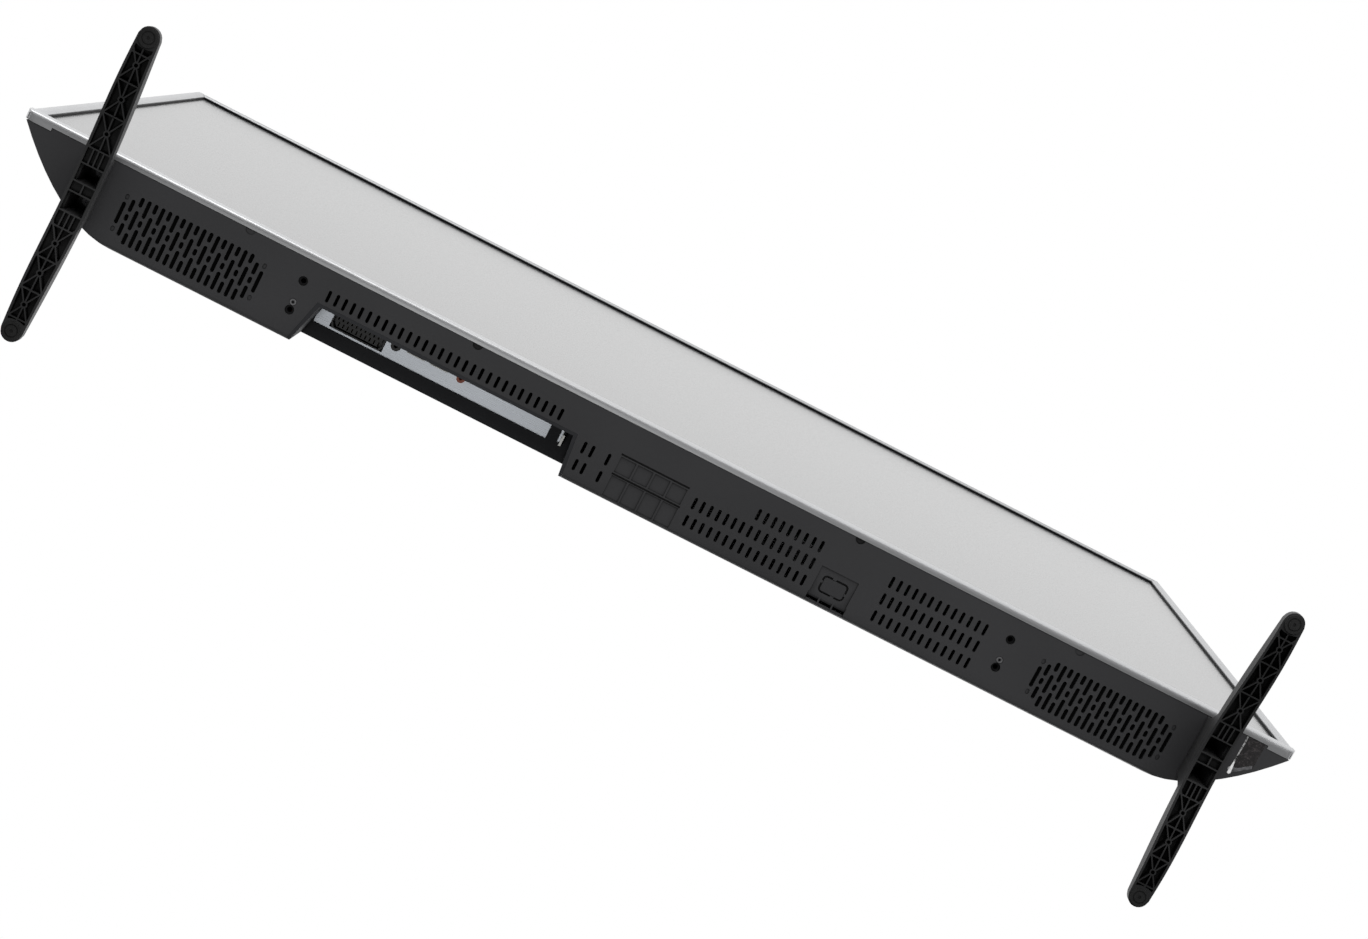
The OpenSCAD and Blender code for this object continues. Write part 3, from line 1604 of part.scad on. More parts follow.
module foot_pads() {
    color([0.05, 0.05, 0.05]) placed() both_sides() for (y = [foot_y0 + pad_inset, foot_y1 - pad_inset])
        difference() {
            rod(foot_x, y, floor_plane, foot_under, pad_r);
            rod(foot_x, y, floor_plane - 1, floor_plane + 0.6, 1.2);
            difference() {
                rod(foot_x, y, floor_plane - 1, floor_plane + 0.5, pad_ring_r + 0.5);
                rod(foot_x, y, floor_plane - 2, floor_plane + 1, pad_ring_r - 0.4);
            }
        }
}

module foot_screws() {
    head_z = cover_z0 - seat - neck_top_plate;
    color("dimgray") placed() both_sides() for (i = [0, 1])
        translate([foot_x, foot_screw_y0 + i * hole_pitch, 0]) difference() {
            union() {
                translate([0, 0, head_z - 2.6]) cylinder(r = 3.7, h = 2.6 - seat);
                translate([0, 0, head_z - 1]) cylinder(r = foot_screw_d / 2, h = floor_z + 6 - head_z);
            }
            translate([0, 0, head_z - 4]) cylinder(r = 1.4, h = 2.8, $fn = 6);
        }
}

bezel_bottom();
bezel_top();
bezel_left();
bezel_right();
front_frame();
lcd_panel();
panel_gasket();
mid_frame();
optical_films();
diffuser_plate();
reflector_sheet();
led_bars();
led_lenses();
diffuser_posts();
steel_tray();
panel_driver_boards();
panel_flex_tabs();
picture_board();
picture_ribbons();
main_board();
processor_heatsink();
terminal_plate();
earth_clip();
scart_socket();
audio_socket();
digital_audio_socket();
hdmi_sockets();
side_terminal_plate();
card_slot();
usb_sockets();
headphone_socket();
network_socket();
antenna_socket();
power_board();
transformers();
power_capacitors();
power_heatsinks();
mains_inlet();
speaker_boxes();
speaker_drivers();
dust_screens();
wiring();
control_button();
control_board();
ir_board();
ir_window();
status_light_guide();
rear_cover();
terminal_recess();
side_recess();
cover_screws();
wall_mount_posts();
spare_foot_plates();
foot_brackets();
foot_left();
foot_right();
foot_pads();
foot_screws();
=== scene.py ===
import math

import bpy
import bmesh
from mathutils import Matrix, Vector


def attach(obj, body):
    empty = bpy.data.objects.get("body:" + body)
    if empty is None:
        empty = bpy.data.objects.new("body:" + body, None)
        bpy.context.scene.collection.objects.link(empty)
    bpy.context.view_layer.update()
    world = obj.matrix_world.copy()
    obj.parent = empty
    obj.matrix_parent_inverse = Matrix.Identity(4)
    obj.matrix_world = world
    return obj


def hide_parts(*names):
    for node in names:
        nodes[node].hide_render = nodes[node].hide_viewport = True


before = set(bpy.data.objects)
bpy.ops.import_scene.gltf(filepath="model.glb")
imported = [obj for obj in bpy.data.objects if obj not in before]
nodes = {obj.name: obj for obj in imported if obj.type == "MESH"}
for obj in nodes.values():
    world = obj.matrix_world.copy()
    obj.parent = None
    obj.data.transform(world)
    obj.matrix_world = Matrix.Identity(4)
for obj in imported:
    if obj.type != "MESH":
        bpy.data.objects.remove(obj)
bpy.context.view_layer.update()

# Where the set's front and underside lie in the scene, in metres
FRONT_SHIFT = -0.02525
STAND = 0.0585

# Measures of the set in millimetres, as in the part's source
PLATE_Z = 60.5
BOARD_BACK = 39.6
SIDE_X = -295.5
SPARE_HOLE_X = 301.4
LOCATING_Y = 40.2

scene = bpy.context.scene


def tv(x, y, z):
    """A point in millimetres from the set's front and underside, as a place in the scene."""
    return Vector((x / 1000, y / 1000 + FRONT_SHIFT, z / 1000 + STAND))


def add_object(name, data):
    o = bpy.data.objects.new(name, data)
    scene.collection.objects.link(o)
    return o


# Camera, solved from the photo's straight edges
cam_data = bpy.data.cameras.new("camera")
cam = add_object("camera", cam_data)
right = Vector((0.88989308, -0.45595343, 0.01402798))
down = Vector((0.45164612, 0.87633309, -0.16749957))
forward = Vector((0.06407882, 0.15539239, 0.98577234))
place = tv(-104.98, -280.18, -1898.58)
cam.matrix_world = Matrix((
    (right.x, -down.x, -forward.x, place.x),
    (right.y, -down.y, -forward.y, place.y),
    (right.z, -down.z, -forward.z, place.z),
    (0, 0, 0, 1)))
cam_data.sensor_fit = "HORIZONTAL"
cam_data.sensor_width = 36
cam_data.lens = 66.77
cam_data.clip_start = 0.05
cam_data.clip_end = 60
scene.camera = cam


# Materials

def new_material(name):
    m = bpy.data.materials.new(name)
    m.use_nodes = True
    t = m.node_tree
    t.nodes.clear()
    out = t.nodes.new("ShaderNodeOutputMaterial")
    bsdf = t.nodes.new("ShaderNodeBsdfPrincipled")
    t.links.new(bsdf.outputs[0], out.inputs[0])
    return m, t, bsdf


def coords(t, scale=(1, 1, 1)):
    c = t.nodes.new("ShaderNodeTexCoord")
    mp = t.nodes.new("ShaderNodeMapping")
    mp.inputs["Scale"].default_value = scale
    t.links.new(c.outputs["Object"], mp.inputs[0])
    return mp.outputs[0]


def noise(t, vec, scale, detail=3.0, rough=0.55):
    n = t.nodes.new("ShaderNodeTexNoise")
    n.inputs["Scale"].default_value = scale
    n.inputs["Detail"].default_value = detail
    n.inputs["Roughness"].default_value = rough
    t.links.new(vec, n.inputs["Vector"])
    return n.outputs[0]


def spread(t, value, low, high, start=0.3, end=0.7):
    """Stretches a value's range from start to end over that from low to high."""
    r = t.nodes.new("ShaderNodeMapRange")
    r.inputs["From Min"].default_value = start
    r.inputs["From Max"].default_value = end
    r.inputs["To Min"].default_value = low
    r.inputs["To Max"].default_value = high
    t.links.new(value, r.inputs["Value"])
    return r.outputs[0]


def ramp(t, value, stops):
    r = t.nodes.new("ShaderNodeValToRGB")
    e = r.color_ramp.elements
    while len(e) < len(stops):
        e.new(0.5)
    for i, (pos, col) in enumerate(stops):
        e[i].position = pos
        e[i].color = (*col, 1)
    t.links.new(value, r.inputs[0])
    return r.outputs[0]


def bump(t, bsdf, height, distance, strength=1.0):
    b = t.nodes.new("ShaderNodeBump")
    b.inputs["Distance"].default_value = distance
    b.inputs["Strength"].default_value = strength
    t.links.new(height, b.inputs["Height"])
    t.links.new(b.outputs[0], bsdf.inputs["Normal"])


def tint(col, k):
    return tuple(min(1.0, c * k) for c in col)


def tones(t, value, col, low, high):
    """A colour that wavers between two brightnesses of itself."""
    return ramp(t, value, [(0.3, tint(col, low)), (0.7, tint(col, high))])


def times(t, a, b):
    """Multiplies a colour by a grey value."""
    mix = t.nodes.new("ShaderNodeMix")
    mix.data_type = "RGBA"
    mix.blend_type = "MULTIPLY"
    mix.inputs["Factor"].default_value = 1.0
    t.links.new(a, mix.inputs["A"])
    t.links.new(b, mix.inputs["B"])
    return mix.outputs["Result"]


def paint_groove_shade(t, b, colour, reach, low):
    """Paints shade into a colour in grooves and corners, down to low, from ambient occlusion. reach: how far
    round a place counts, in metres.
    """
    ao = t.nodes.new("ShaderNodeAmbientOcclusion")
    ao.samples = 6
    ao.only_local = True
    ao.inputs["Distance"].default_value = reach
    painted_shade = spread(t, ao.outputs["AO"], low, 1.0, 0.35, 0.9)
    t.links.new(times(t, colour, painted_shade), b.inputs["Base Color"])


def paint_sunk_shade(material, base, deep, low):
    """Paints shade on faces that look down and lie between the heights base and deep, such as sunk marks."""
    t = material.node_tree
    b = t.nodes["Principled BSDF"]
    geo = t.nodes.new("ShaderNodeNewGeometry")
    side = t.nodes.new("ShaderNodeSeparateXYZ")
    t.links.new(geo.outputs["Normal"], side.inputs[0])
    high = t.nodes.new("ShaderNodeSeparateXYZ")
    t.links.new(coords(t), high.inputs[0])
    depth = spread(t, high.outputs["Z"], 1.0, low, base, deep)
    looks_down = spread(t, side.outputs["Z"], 1.0, 0.0, -0.9, -0.6)
    mix = t.nodes.new("ShaderNodeMix")
    mix.data_type = "FLOAT"
    mix.inputs["A"].default_value = 1.0
    t.links.new(looks_down, mix.inputs["Factor"])
    t.links.new(depth, mix.inputs["B"])
    colour = b.inputs["Base Color"].links[0].from_socket
    t.links.new(times(t, colour, mix.outputs["Result"]), b.inputs["Base Color"])


def plastic(name, col, rough=0.45, grain=0.0004, depth=0.00002, vary=0.12, spec=0.5, cloud=9.0,
            reach=0.0, low=0.3):
    """Moulded plastic with a fine eroded grain and slight random tone changes over its face; given a reach,
    it has shade painted into its grooves and corners.
    """
    m, t, b = new_material(name)
    v = coords(t)
    fine = noise(t, v, 1 / grain, 2.0)
    shade = tones(t, noise(t, v, cloud, 2.0), col, 1 - vary, 1 + vary)
    # Painted shade in grooves and corners, from ambient occlusion
    if reach:
        paint_groove_shade(t, b, shade, reach, low)
    else:
        t.links.new(shade, b.inputs["Base Color"])
    t.links.new(spread(t, fine, rough - 0.06, rough + 0.06), b.inputs["Roughness"])
    b.inputs["Specular IOR Level"].default_value = spec
    bump(t, b, fine, depth, 0.6)
    return m


def metal(name, col, rough=0.3, stretch=(1, 1, 1), grain=900.0, depth=0.00001, vary=0.05, metallic=1.0):
    """Metal with a rolled or brushed grain along the axis whose stretch is smallest."""
    m, t, b = new_material(name)
    fine = noise(t, coords(t, stretch), grain, 4.0, 0.65)
    wide = noise(t, coords(t), 14.0, 3.0)
    t.links.new(tones(t, wide, col, 1 - vary, 1 + vary), b.inputs["Base Color"])
    t.links.new(spread(t, fine, rough - 0.07, rough + 0.07), b.inputs["Roughness"])
    b.inputs["Metallic"].default_value = metallic
    bump(t, b, fine, depth, 0.5)
    return m


def spangle(name, col, rough):
    """Zinc plated sheet steel with a faint mottled bloom."""
    m, t, b = new_material(name)
    v = coords(t)
    cells = t.nodes.new("ShaderNodeTexVoronoi")
    cells.inputs["Scale"].default_value = 260.0
    t.links.new(v, cells.inputs["Vector"])
    t.links.new(tones(t, noise(t, v, 60.0, 4.0), col, 0.9, 1.06), b.inputs["Base Color"])
    t.links.new(spread(t, cells.outputs["Color"], rough - 0.08, rough + 0.1, 0.0, 1.0), b.inputs["Roughness"])
    b.inputs["Metallic"].default_value = 0.85
    bump(t, b, noise(t, v, 1800.0, 3.0), 0.00001, 0.4)
    return m


def circuit(name, col):
    """Solder masked board with tracks and pads."""
    m, t, b = new_material(name)
    v = coords(t)
    brick = t.nodes.new("ShaderNodeTexBrick")
    brick.inputs["Scale"].default_value = 160.0
    brick.inputs["Color1"].default_value = (*col, 1)
    brick.inputs["Color2"].default_value = (*tint(col, 1.25), 1)
    brick.inputs["Mortar"].default_value = (*tint(col, 1.9), 1)
    brick.inputs["Mortar Size"].default_value = 0.03
    t.links.new(v, brick.inputs["Vector"])
    t.links.new(brick.outputs[0], b.inputs["Base Color"])
    t.links.new(spread(t, noise(t, v, 400.0), 0.3, 0.45), b.inputs["Roughness"])
    bump(t, b, noise(t, v, 500.0), 0.00003, 0.5)
    return m


def screen_material():
    """The switched off panel: almost black behind a matt film that turns pale at a low angle."""
    m, t, b = new_material("screen")
    v = coords(t)
    wide = noise(t, v, 1.6, 2.0)
    shade = ramp(t, wide, [(0.35, (0.030, 0.031, 0.034)), (0.65, (0.038, 0.039, 0.042))])
    t.links.new(shade, b.inputs["Base Color"])
    t.links.new(spread(t, noise(t, v, 1500.0, 2.0), 0.22, 0.30), b.inputs["Roughness"])
    b.inputs["IOR"].default_value = 1.55
    b.inputs["Coat Weight"].default_value = 0.9
    b.inputs["Coat Roughness"].default_value = 0.2
    bump(t, b, noise(t, v, 2500.0, 2.0), 0.000004, 0.4)
    return m


def smoked(name, col):
    """Smoked window whose inside shows through as warm specks."""
    m, t, b = new_material(name)
    v = coords(t)
    speck = noise(t, v, 420.0, 3.0, 0.7)
    shade = ramp(t, speck, [(0.42, tint(col, 0.7)), (0.55, tint(col, 1.1)), (0.64, (0.070, 0.060, 0.061)),
                            (0.72, (0.12, 0.11, 0.11))])
    t.links.new(shade, b.inputs["Base Color"])
    t.links.new(spread(t, noise(t, v, 700.0), 0.08, 0.14), b.inputs["Roughness"])
    b.inputs["Coat Weight"].default_value = 0.6
    b.inputs["Coat Roughness"].default_value = 0.05
    bump(t, b, noise(t, v, 300.0), 0.00001, 0.2)
    return m


def painted_lit_guide(name, col):
    """Clear light guide, painted white in uneven patches that stand in for light along its length."""
    m, t, b = new_material(name)
    v = coords(t)
    patch = noise(t, v, 330.0, 3.0, 0.7)
    shade = ramp(t, patch, [(0.40, (0.03, 0.03, 0.03)), (0.47, tint(col, 0.5)), (0.55, col)])
    t.links.new(shade, b.inputs["Base Color"])
    t.links.new(spread(t, noise(t, v, 900.0), 0.12, 0.3), b.inputs["Roughness"])
    bump(t, b, noise(t, v, 700.0), 0.00003, 0.4)
    return m


def painted_glow(name, col):
    """The thick end of the light guide, painted pale with a faint emission as an uneven glow, though it is no
    lamp.
    """
    m, t, b = new_material(name)
    v = coords(t)
    patch = noise(t, v, 300.0, 2.0, 0.6)
    shade = ramp(t, patch, [(0.35, tint(col, 0.55)), (0.6, col)])
    t.links.new(shade, b.inputs["Base Color"])
    t.links.new(shade, b.inputs["Emission Color"])
    b.inputs["Emission Strength"].default_value = 0.4
    t.links.new(spread(t, noise(t, v, 900.0), 0.1, 0.25), b.inputs["Roughness"])
    bump(t, b, noise(t, v, 700.0), 0.00003, 0.4)
    return m


BRUSHED = dict(rough=0.38, grain=1400.0, depth=0.000006, vary=0.04, metallic=0.8)
ALONG_X = (0.04, 1, 1)
ALONG_Z = (1, 1, 0.04)

# Materials given a reach have shade painted into their grooves and corners, down to low
M = {
    "silver": metal("silver_frame", (0.52, 0.525, 0.535), stretch=ALONG_X, **BRUSHED),
    # A paler copy of the silver for the bottom bar, painted light on its brighter face
    "silver_low_lit": metal("silver_frame_low_lit", (0.54, 0.545, 0.555), stretch=ALONG_X, **BRUSHED),
    "silver_up": metal("silver_frame_upright", (0.52, 0.525, 0.535), stretch=ALONG_Z, **BRUSHED),
    "black_frame": plastic("black_frame", (0.008, 0.008, 0.009), 0.5, spec=0.15),
    "screen": screen_material(),
    "cover": plastic("cover_plastic", (0.058, 0.058, 0.061), 0.55, grain=0.0005, depth=0.00003, spec=0.3,
                     cloud=6.0, reach=0.004, low=0.12),
    "recess": plastic("recess_plastic", (0.044, 0.045, 0.049), 0.6, grain=0.0005, depth=0.00003, vary=0.1,
                      spec=0.15, cloud=12.0, reach=0.004),
    "foot": plastic("foot_plastic", (0.048, 0.048, 0.049), 0.42, grain=0.0006, depth=0.00001, vary=0.1,
                    spec=0.3, cloud=30.0, reach=0.008, low=0.02),
    "rubber": plastic("pad_rubber", (0.042, 0.042, 0.042), 0.75, grain=0.0008, depth=0.00004, vary=0.15,
                      spec=0.3, cloud=60.0, reach=0.0015, low=0.2),
    "plate": metal("plate_steel", (0.74, 0.78, 0.83), 0.30, stretch=(0.03, 1, 1), grain=1100.0,
                   depth=0.000004, metallic=0.6),
    # The tray's steel is a dark grey well below bare zinc, painted shade for the inside seen through the
    # vents
    "tray": spangle("tray_steel", (0.32, 0.33, 0.34), 0.45),
    "socket": plastic("socket_black", (0.012, 0.012, 0.012), 0.35, grain=0.0005),
    "orange": plastic("socket_orange", (0.70, 0.16, 0.07), 0.4, grain=0.0005),
    "nickel": metal("socket_metal", (0.66, 0.66, 0.64), 0.25, depth=0.000005),
    "window": smoked("window_plastic", (0.030, 0.027, 0.028)),
    "guide": painted_lit_guide("light_guide", (0.80, 0.80, 0.80)),
    "button": plastic("button_plastic", (0.054, 0.054, 0.057), 0.5, grain=0.0005, vary=0.08, spec=0.3,
                      cloud=30.0, reach=0.002, low=0.2),
    "screw": metal("screw_steel", (0.10, 0.10, 0.105), 0.35, grain=700.0),
    "zinc": metal("post_metal", (0.60, 0.60, 0.56), 0.33, grain=700.0),
    "white": plastic("white_plastic", (0.74, 0.74, 0.73), 0.5, grain=0.0006, vary=0.03),
    "film": plastic("film", (0.8, 0.8, 0.8), 0.25, grain=0.0005, depth=0.00001, vary=0.02),
    "reflector": plastic("reflector", (0.84, 0.84, 0.84), 0.4, grain=0.0005, depth=0.00001, vary=0.02),
    "led": plastic("led_board", (0.78, 0.78, 0.75), 0.4, grain=0.0006, depth=0.00001, vary=0.04),
    "lens": plastic("lens", (0.8, 0.82, 0.85), 0.12, grain=0.0006, depth=0.00001, vary=0.02),
    "pcb": circuit("board_green", (0.012, 0.07, 0.03)),
    "flex": plastic("flex", (0.35, 0.16, 0.03), 0.35),
    "ribbon": plastic("ribbon", (0.62, 0.60, 0.52), 0.4),
    "sink_dark": metal("heatsink", (0.04, 0.04, 0.045), 0.5, depth=0.00002, vary=0.1, metallic=0.6),
    "sink": metal("heatsink_plain", (0.58, 0.59, 0.6), 0.38, stretch=(1, 1, 0.1)),
    "winding": plastic("winding", (0.55, 0.36, 0.05), 0.4, grain=0.0008, depth=0.00008),
    "capacitor": plastic("capacitor", (0.012, 0.015, 0.035), 0.3, grain=0.0006),
    "speaker": plastic("speaker_plastic", (0.012, 0.012, 0.012), 0.5),
    "driver": plastic("speaker_driver", (0.03, 0.03, 0.03), 0.5),
    "mesh": plastic("dust_screen", (0.003, 0.003, 0.003), 0.9, grain=0.0008, depth=0.0002, vary=0.3,
                    spec=0.05),
    "wire": plastic("wire", (0.30, 0.02, 0.02), 0.4, grain=0.0008),
    # Pale grey for the receiver window's rim, a painted highlight
    "rim": plastic("window_rim_highlight", (0.21, 0.21, 0.22), 0.25, grain=0.0008, depth=0.00003, vary=0.6,
                   cloud=260.0),
    "guide_end": painted_glow("light_guide_end", (0.9, 0.9, 0.9)),
    # Paler grey than the cover on the locating rings, a painted highlight
    "ring": plastic("locating_ring", (0.17, 0.17, 0.175), 0.4, vary=0.3, cloud=300.0),
    # Near black for the spare foot plates, painted shade where they show through the spare holes
    "dark_steel": plastic("plate_steel_painted_shade", (0.006, 0.006, 0.007), 0.5, depth=0.00001, vary=0.2, spec=0.2,
                          cloud=60.0, reach=0.006, low=0.1),
    "border": plastic("screen_border", (0.012, 0.012, 0.013), 0.42, grain=0.0008, depth=0.000003, vary=0.2,
                      cloud=20.0),
    "contact": metal("contact_metal", (0.72, 0.60, 0.36), 0.28, depth=0.000004),
    "foam": plastic("foam", (0.02, 0.02, 0.02), 0.9, grain=0.0008, depth=0.0001, vary=0.2, spec=0.2),
}

# Painted shade in the sunk marks of the cover's underside, and on the button's flange deep in its gap
paint_sunk_shade(M["cover"], 0.05985, 0.0609, 0.4)
paint_sunk_shade(M["button"], 0.0599, 0.0611, 0.1)

NODE_MATERIAL = {
    "bezel_bottom": "silver_low_lit", "bezel_top": "silver", "bezel_left": "silver_up",
    "bezel_right": "silver_up",
    "front_frame": "black_frame", "lcd_panel": "screen", "panel_gasket": "foam", "mid_frame": "white",
    "optical_films": "film", "diffuser_plate": "film", "reflector_sheet": "reflector", "led_bars": "led",
    "led_lenses": "lens", "diffuser_posts": "white", "steel_tray": "tray", "panel_driver_boards": "pcb",
    "panel_flex_tabs": "flex", "picture_board": "pcb", "picture_ribbons": "ribbon", "main_board": "pcb",
    "processor_heatsink": "sink_dark", "terminal_plate": "plate", "scart_socket": "socket",
    "audio_socket": "socket", "digital_audio_socket": "orange", "hdmi_sockets": "nickel",
    "side_terminal_plate": "plate", "card_slot": "nickel", "usb_sockets": "nickel",
    "headphone_socket": "socket", "network_socket": "nickel", "antenna_socket": "nickel",
    "power_board": "pcb", "transformers": "winding", "power_capacitors": "capacitor",
    "power_heatsinks": "sink", "mains_inlet": "socket", "speaker_boxes": "speaker",
    "speaker_drivers": "driver", "dust_screens": "mesh", "wiring": "wire", "control_button": "button",
    "control_board": "pcb", "ir_board": "pcb", "ir_window": "window", "status_light_guide": "guide",
    "rear_cover": "cover", "terminal_recess": "recess", "side_recess": "recess", "earth_clip": "nickel",
    "cover_screws": "screw", "wall_mount_posts": "zinc", "spare_foot_plates": "dark_steel",
    "foot_brackets": "zinc", "foot_left": "foot", "foot_right": "foot", "foot_pads": "rubber",
    "foot_screws": "screw",
}


def smooth_group(limit):
    """Rounds the shading of curved faces and keeps edges sharper than limit."""
    g = bpy.data.node_groups.new("smooth", "GeometryNodeTree")
    g.interface.new_socket("Geometry", in_out="INPUT", socket_type="NodeSocketGeometry")
    g.interface.new_socket("Geometry", in_out="OUTPUT", socket_type="NodeSocketGeometry")
    g.is_modifier = True
    start = g.nodes.new("NodeGroupInput")
    end = g.nodes.new("NodeGroupOutput")
    weld = g.nodes.new("GeometryNodeMergeByDistance")
    weld.inputs["Distance"].default_value = 0.000002
    faces = g.nodes.new("GeometryNodeSetShadeSmooth")
    faces.domain = "FACE"
    faces.inputs["Shade Smooth"].default_value = True
    edges = g.nodes.new("GeometryNodeSetShadeSmooth")
    edges.domain = "EDGE"
    edges.inputs["Shade Smooth"].default_value = False
    angle = g.nodes.new("GeometryNodeInputMeshEdgeAngle")
    over = g.nodes.new("FunctionNodeCompare")
    over.data_type = "FLOAT"
    over.operation = "GREATER_THAN"
    over.inputs["B"].default_value = limit
    g.links.new(start.outputs[0], weld.inputs[0])
    g.links.new(weld.outputs[0], faces.inputs[0])
    g.links.new(faces.outputs[0], edges.inputs[0])
    g.links.new(angle.outputs["Unsigned Angle"], over.inputs["A"])
    g.links.new(over.outputs[0], edges.inputs["Selection"])
    g.links.new(edges.outputs[0], end.inputs[0])
    return g


SMOOTH = smooth_group(math.radians(28))


def soften(obj):
    mod = obj.modifiers.new("smooth", "NODES")
    mod.node_group = SMOOTH


for name, obj in nodes.items():
    obj.data.materials.clear()
    obj.data.materials.append(M[NODE_MATERIAL[name]])
    soften(obj)


# Small parts that the solids leave out

def turn_out(mesh, bm):
    """Puts bm into the mesh, with its faces turned outwards."""
    bmesh.ops.recalc_face_normals(bm, faces=bm.faces)
    bm.to_mesh(mesh)
    bm.free()


def piece(name, material, verts, faces, smooth=False):
    """A new piece on the set. verts: places in millimetres of the set."""
    mesh = bpy.data.meshes.new(name)
    mesh.from_pydata([tuple(tv(*v)) for v in verts], [], faces)
    mesh.materials.append(M[material])
    bm = bmesh.new()
    bm.from_mesh(mesh)
    turn_out(mesh, bm)
    o = add_object(name, mesh)
    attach(o, "set")
    if smooth:
        soften(o)


def sweep(verts, faces, outline, along, low, high, turn=lambda x, y, z: (x, y, z)):
    """Adds the outline, a closed list of places in one plane, drawn out from low to high along an axis.

    turn moves each place to where it belongs on the set.
    """
    n = len(outline)
    start = len(verts)
    for level in (low, high):
        for a, b in outline:
            verts.append(turn(*[(level, a, b), (a, level, b), (a, b, level)][along]))
    faces.append(tuple(start + i for i in range(n))[::-1])
    faces.append(tuple(start + n + i for i in range(n)))
    for i in range(n):
        j = (i + 1) % n
        faces.append((start + i, start + j, start + n + j, start + n + i))


def bent_strip(path, t):
    """Closed outline of a strip of thickness t that follows a path in a plane."""
    out = []
    for side in (1, -1):
        row = []
        for i, p in enumerate(path):
            a = path[max(i - 1, 0)]
            b = path[min(i + 1, len(path) - 1)]
            d = math.hypot(b[0] - a[0], b[1] - a[1])
            row.append((p[0] - side * (b[1] - a[1]) / d * t / 2, p[1] + side * (b[0] - a[0]) / d * t / 2))
        out += row if side == 1 else row[::-1]
    return out


def slab(name, material, outline, z0, z1, slope=0.3):
    """A thin plate with sloped edges on the underside of the set. outline: places across and to the back."""
    cx = sum(p[0] for p in outline) / len(outline)
    cy = sum(p[1] for p in outline) / len(outline)
    verts, faces, n = [], [], len(outline)
    for z, k in ((z1, 0.0), (z0, slope)):
        for x, y in outline:
            d = math.hypot(x - cx, y - cy)
            verts.append((x - (x - cx) / d * k, y - (y - cy) / d * k, z))
    faces.append(tuple(range(n)))
    faces.append(tuple(range(n, 2 * n))[::-1])
    for i in range(n):
        faces.append((i, (i + 1) % n, n + (i + 1) % n, n + i))
    piece(name, material, verts, faces)


# Pale slab on the rim of the receiver window, a painted highlight where the rim catches the light, and the
# thick end of the light guide, painted glowing
RIM = [(501.2, 37.3), (504.5, 35.2), (508.6, 32.2), (515.2, 27.2), (514.4, 24.6),
       (510.2, 27.4), (507.0, 30.2), (503.2, 32.2), (501.2, 32.0)]
GUIDE_END = [(499.3, 38.2), (500.9, 38.8), (502.2, 37.6), (501.9, 34.6),
             (501.2, 30.5), (500.9, 27.8), (499.9, 27.9), (499.5, 31.5)]
slab("window_rim_highlight", "rim", RIM, 0.08, 0.21, 0.2)
slab("light_guide_end", "guide_end", GUIDE_END, 0.05, 0.31, 0.25)

# Rings that locate the foot, beside the spare holes. The section gives each point's radius and height
RING_SECTION = [(1.25, 0.32), (1.45, 0.12), (1.9, 0.06), (2.35, 0.12), (2.55, 0.32)]
RING_STEPS = 32
verts, faces = [], []
for side in (-1, 1):
    start = len(verts)
    for i in range(RING_STEPS):
        a = i * 2 * math.pi / RING_STEPS
        for r, z in RING_SECTION:
            verts.append((side * SPARE_HOLE_X + r * math.cos(a), LOCATING_Y + r * math.sin(a), z))
    n = len(RING_SECTION)
    for i in range(RING_STEPS):
        a, b = start + i * n, start + (i + 1) % RING_STEPS * n
        for k in range(n):
            faces.append((a + k, b + k, b + (k + 1) % n, a + (k + 1) % n))
piece("locating_rings", "ring", verts, faces, True)

# Dark band on the panel round the picture, 6.6 mm deep along the bottom and under a millimetre at the sides
# and top
outer = [(-529.1, 15.9), (529.1, 15.9), (529.1, 614.1), (-529.1, 614.1)]
inner = [(-528.5, 22.5), (528.5, 22.5), (528.5, 613.4), (-528.5, 613.4)]
glass_y, print_y = 3.57, 3.54
verts = [(x, y, z) for y, ring in ((glass_y, outer), (print_y, outer), (print_y, inner), (glass_y, inner))
         for x, z in ring]
faces = [(k * 4 + i, k * 4 + (i + 1) % 4, (k + 1) % 4 * 4 + (i + 1) % 4, (k + 1) % 4 * 4 + i)
         for k in range(4) for i in range(4)]
piece("screen_border", "border", verts, faces)

# Spring contacts of the scart socket, one in each slot of its two rows
SCART_X = -252
SCART_Y = BOARD_BACK + 7.35
SCART_PITCH = 3.8
verts, faces = [], []
for i in range(10):
    for row in (-1, 1):
        x = SCART_X + (i - 4.5) * SCART_PITCH + row * 0.9
        y = SCART_Y + row * 2.4
        leaf = bent_strip([(x - 0.3, PLATE_Z + 4.4), (x - 0.25, PLATE_Z + 2.2), (x + 0.15, PLATE_Z + 0.9),
                           (x - 0.2, PLATE_Z + 0.1)], 0.28)
        sweep(verts, faces, leaf, 1, y - 1.1, y + 1.1)
piece("scart_contacts", "contact", verts, faces)


def downwards(x0):
    """Turns a place in a socket of the bottom bay into one of the set."""
    return lambda x, y, z: (x0 + x, BOARD_BACK + y, PLATE_Z - 0.5 + z)


def sideways(z0):
    """Turns a place in a socket of the side bay into one of the set."""
    return lambda x, y, z: (SIDE_X + z, BOARD_BACK + y, z0 - x)


def strips(name, sockets, rows, width, thick, low, high):
    """Flat contacts on a socket's tongue.

    rows: the places across, the height of the face they lie on, and 1 where it looks up or -1 down.
    """
    verts, faces = [], []
    for turn in sockets:
        for across, y, up in rows:
            leaf = bent_strip([(y, high), (y, low + 0.5), (y - up * 0.12, low)], thick)
            for x in across:
                sweep(verts, faces, leaf, 0, x - width / 2, x + width / 2, turn)
    piece(name, "contact", verts, faces)


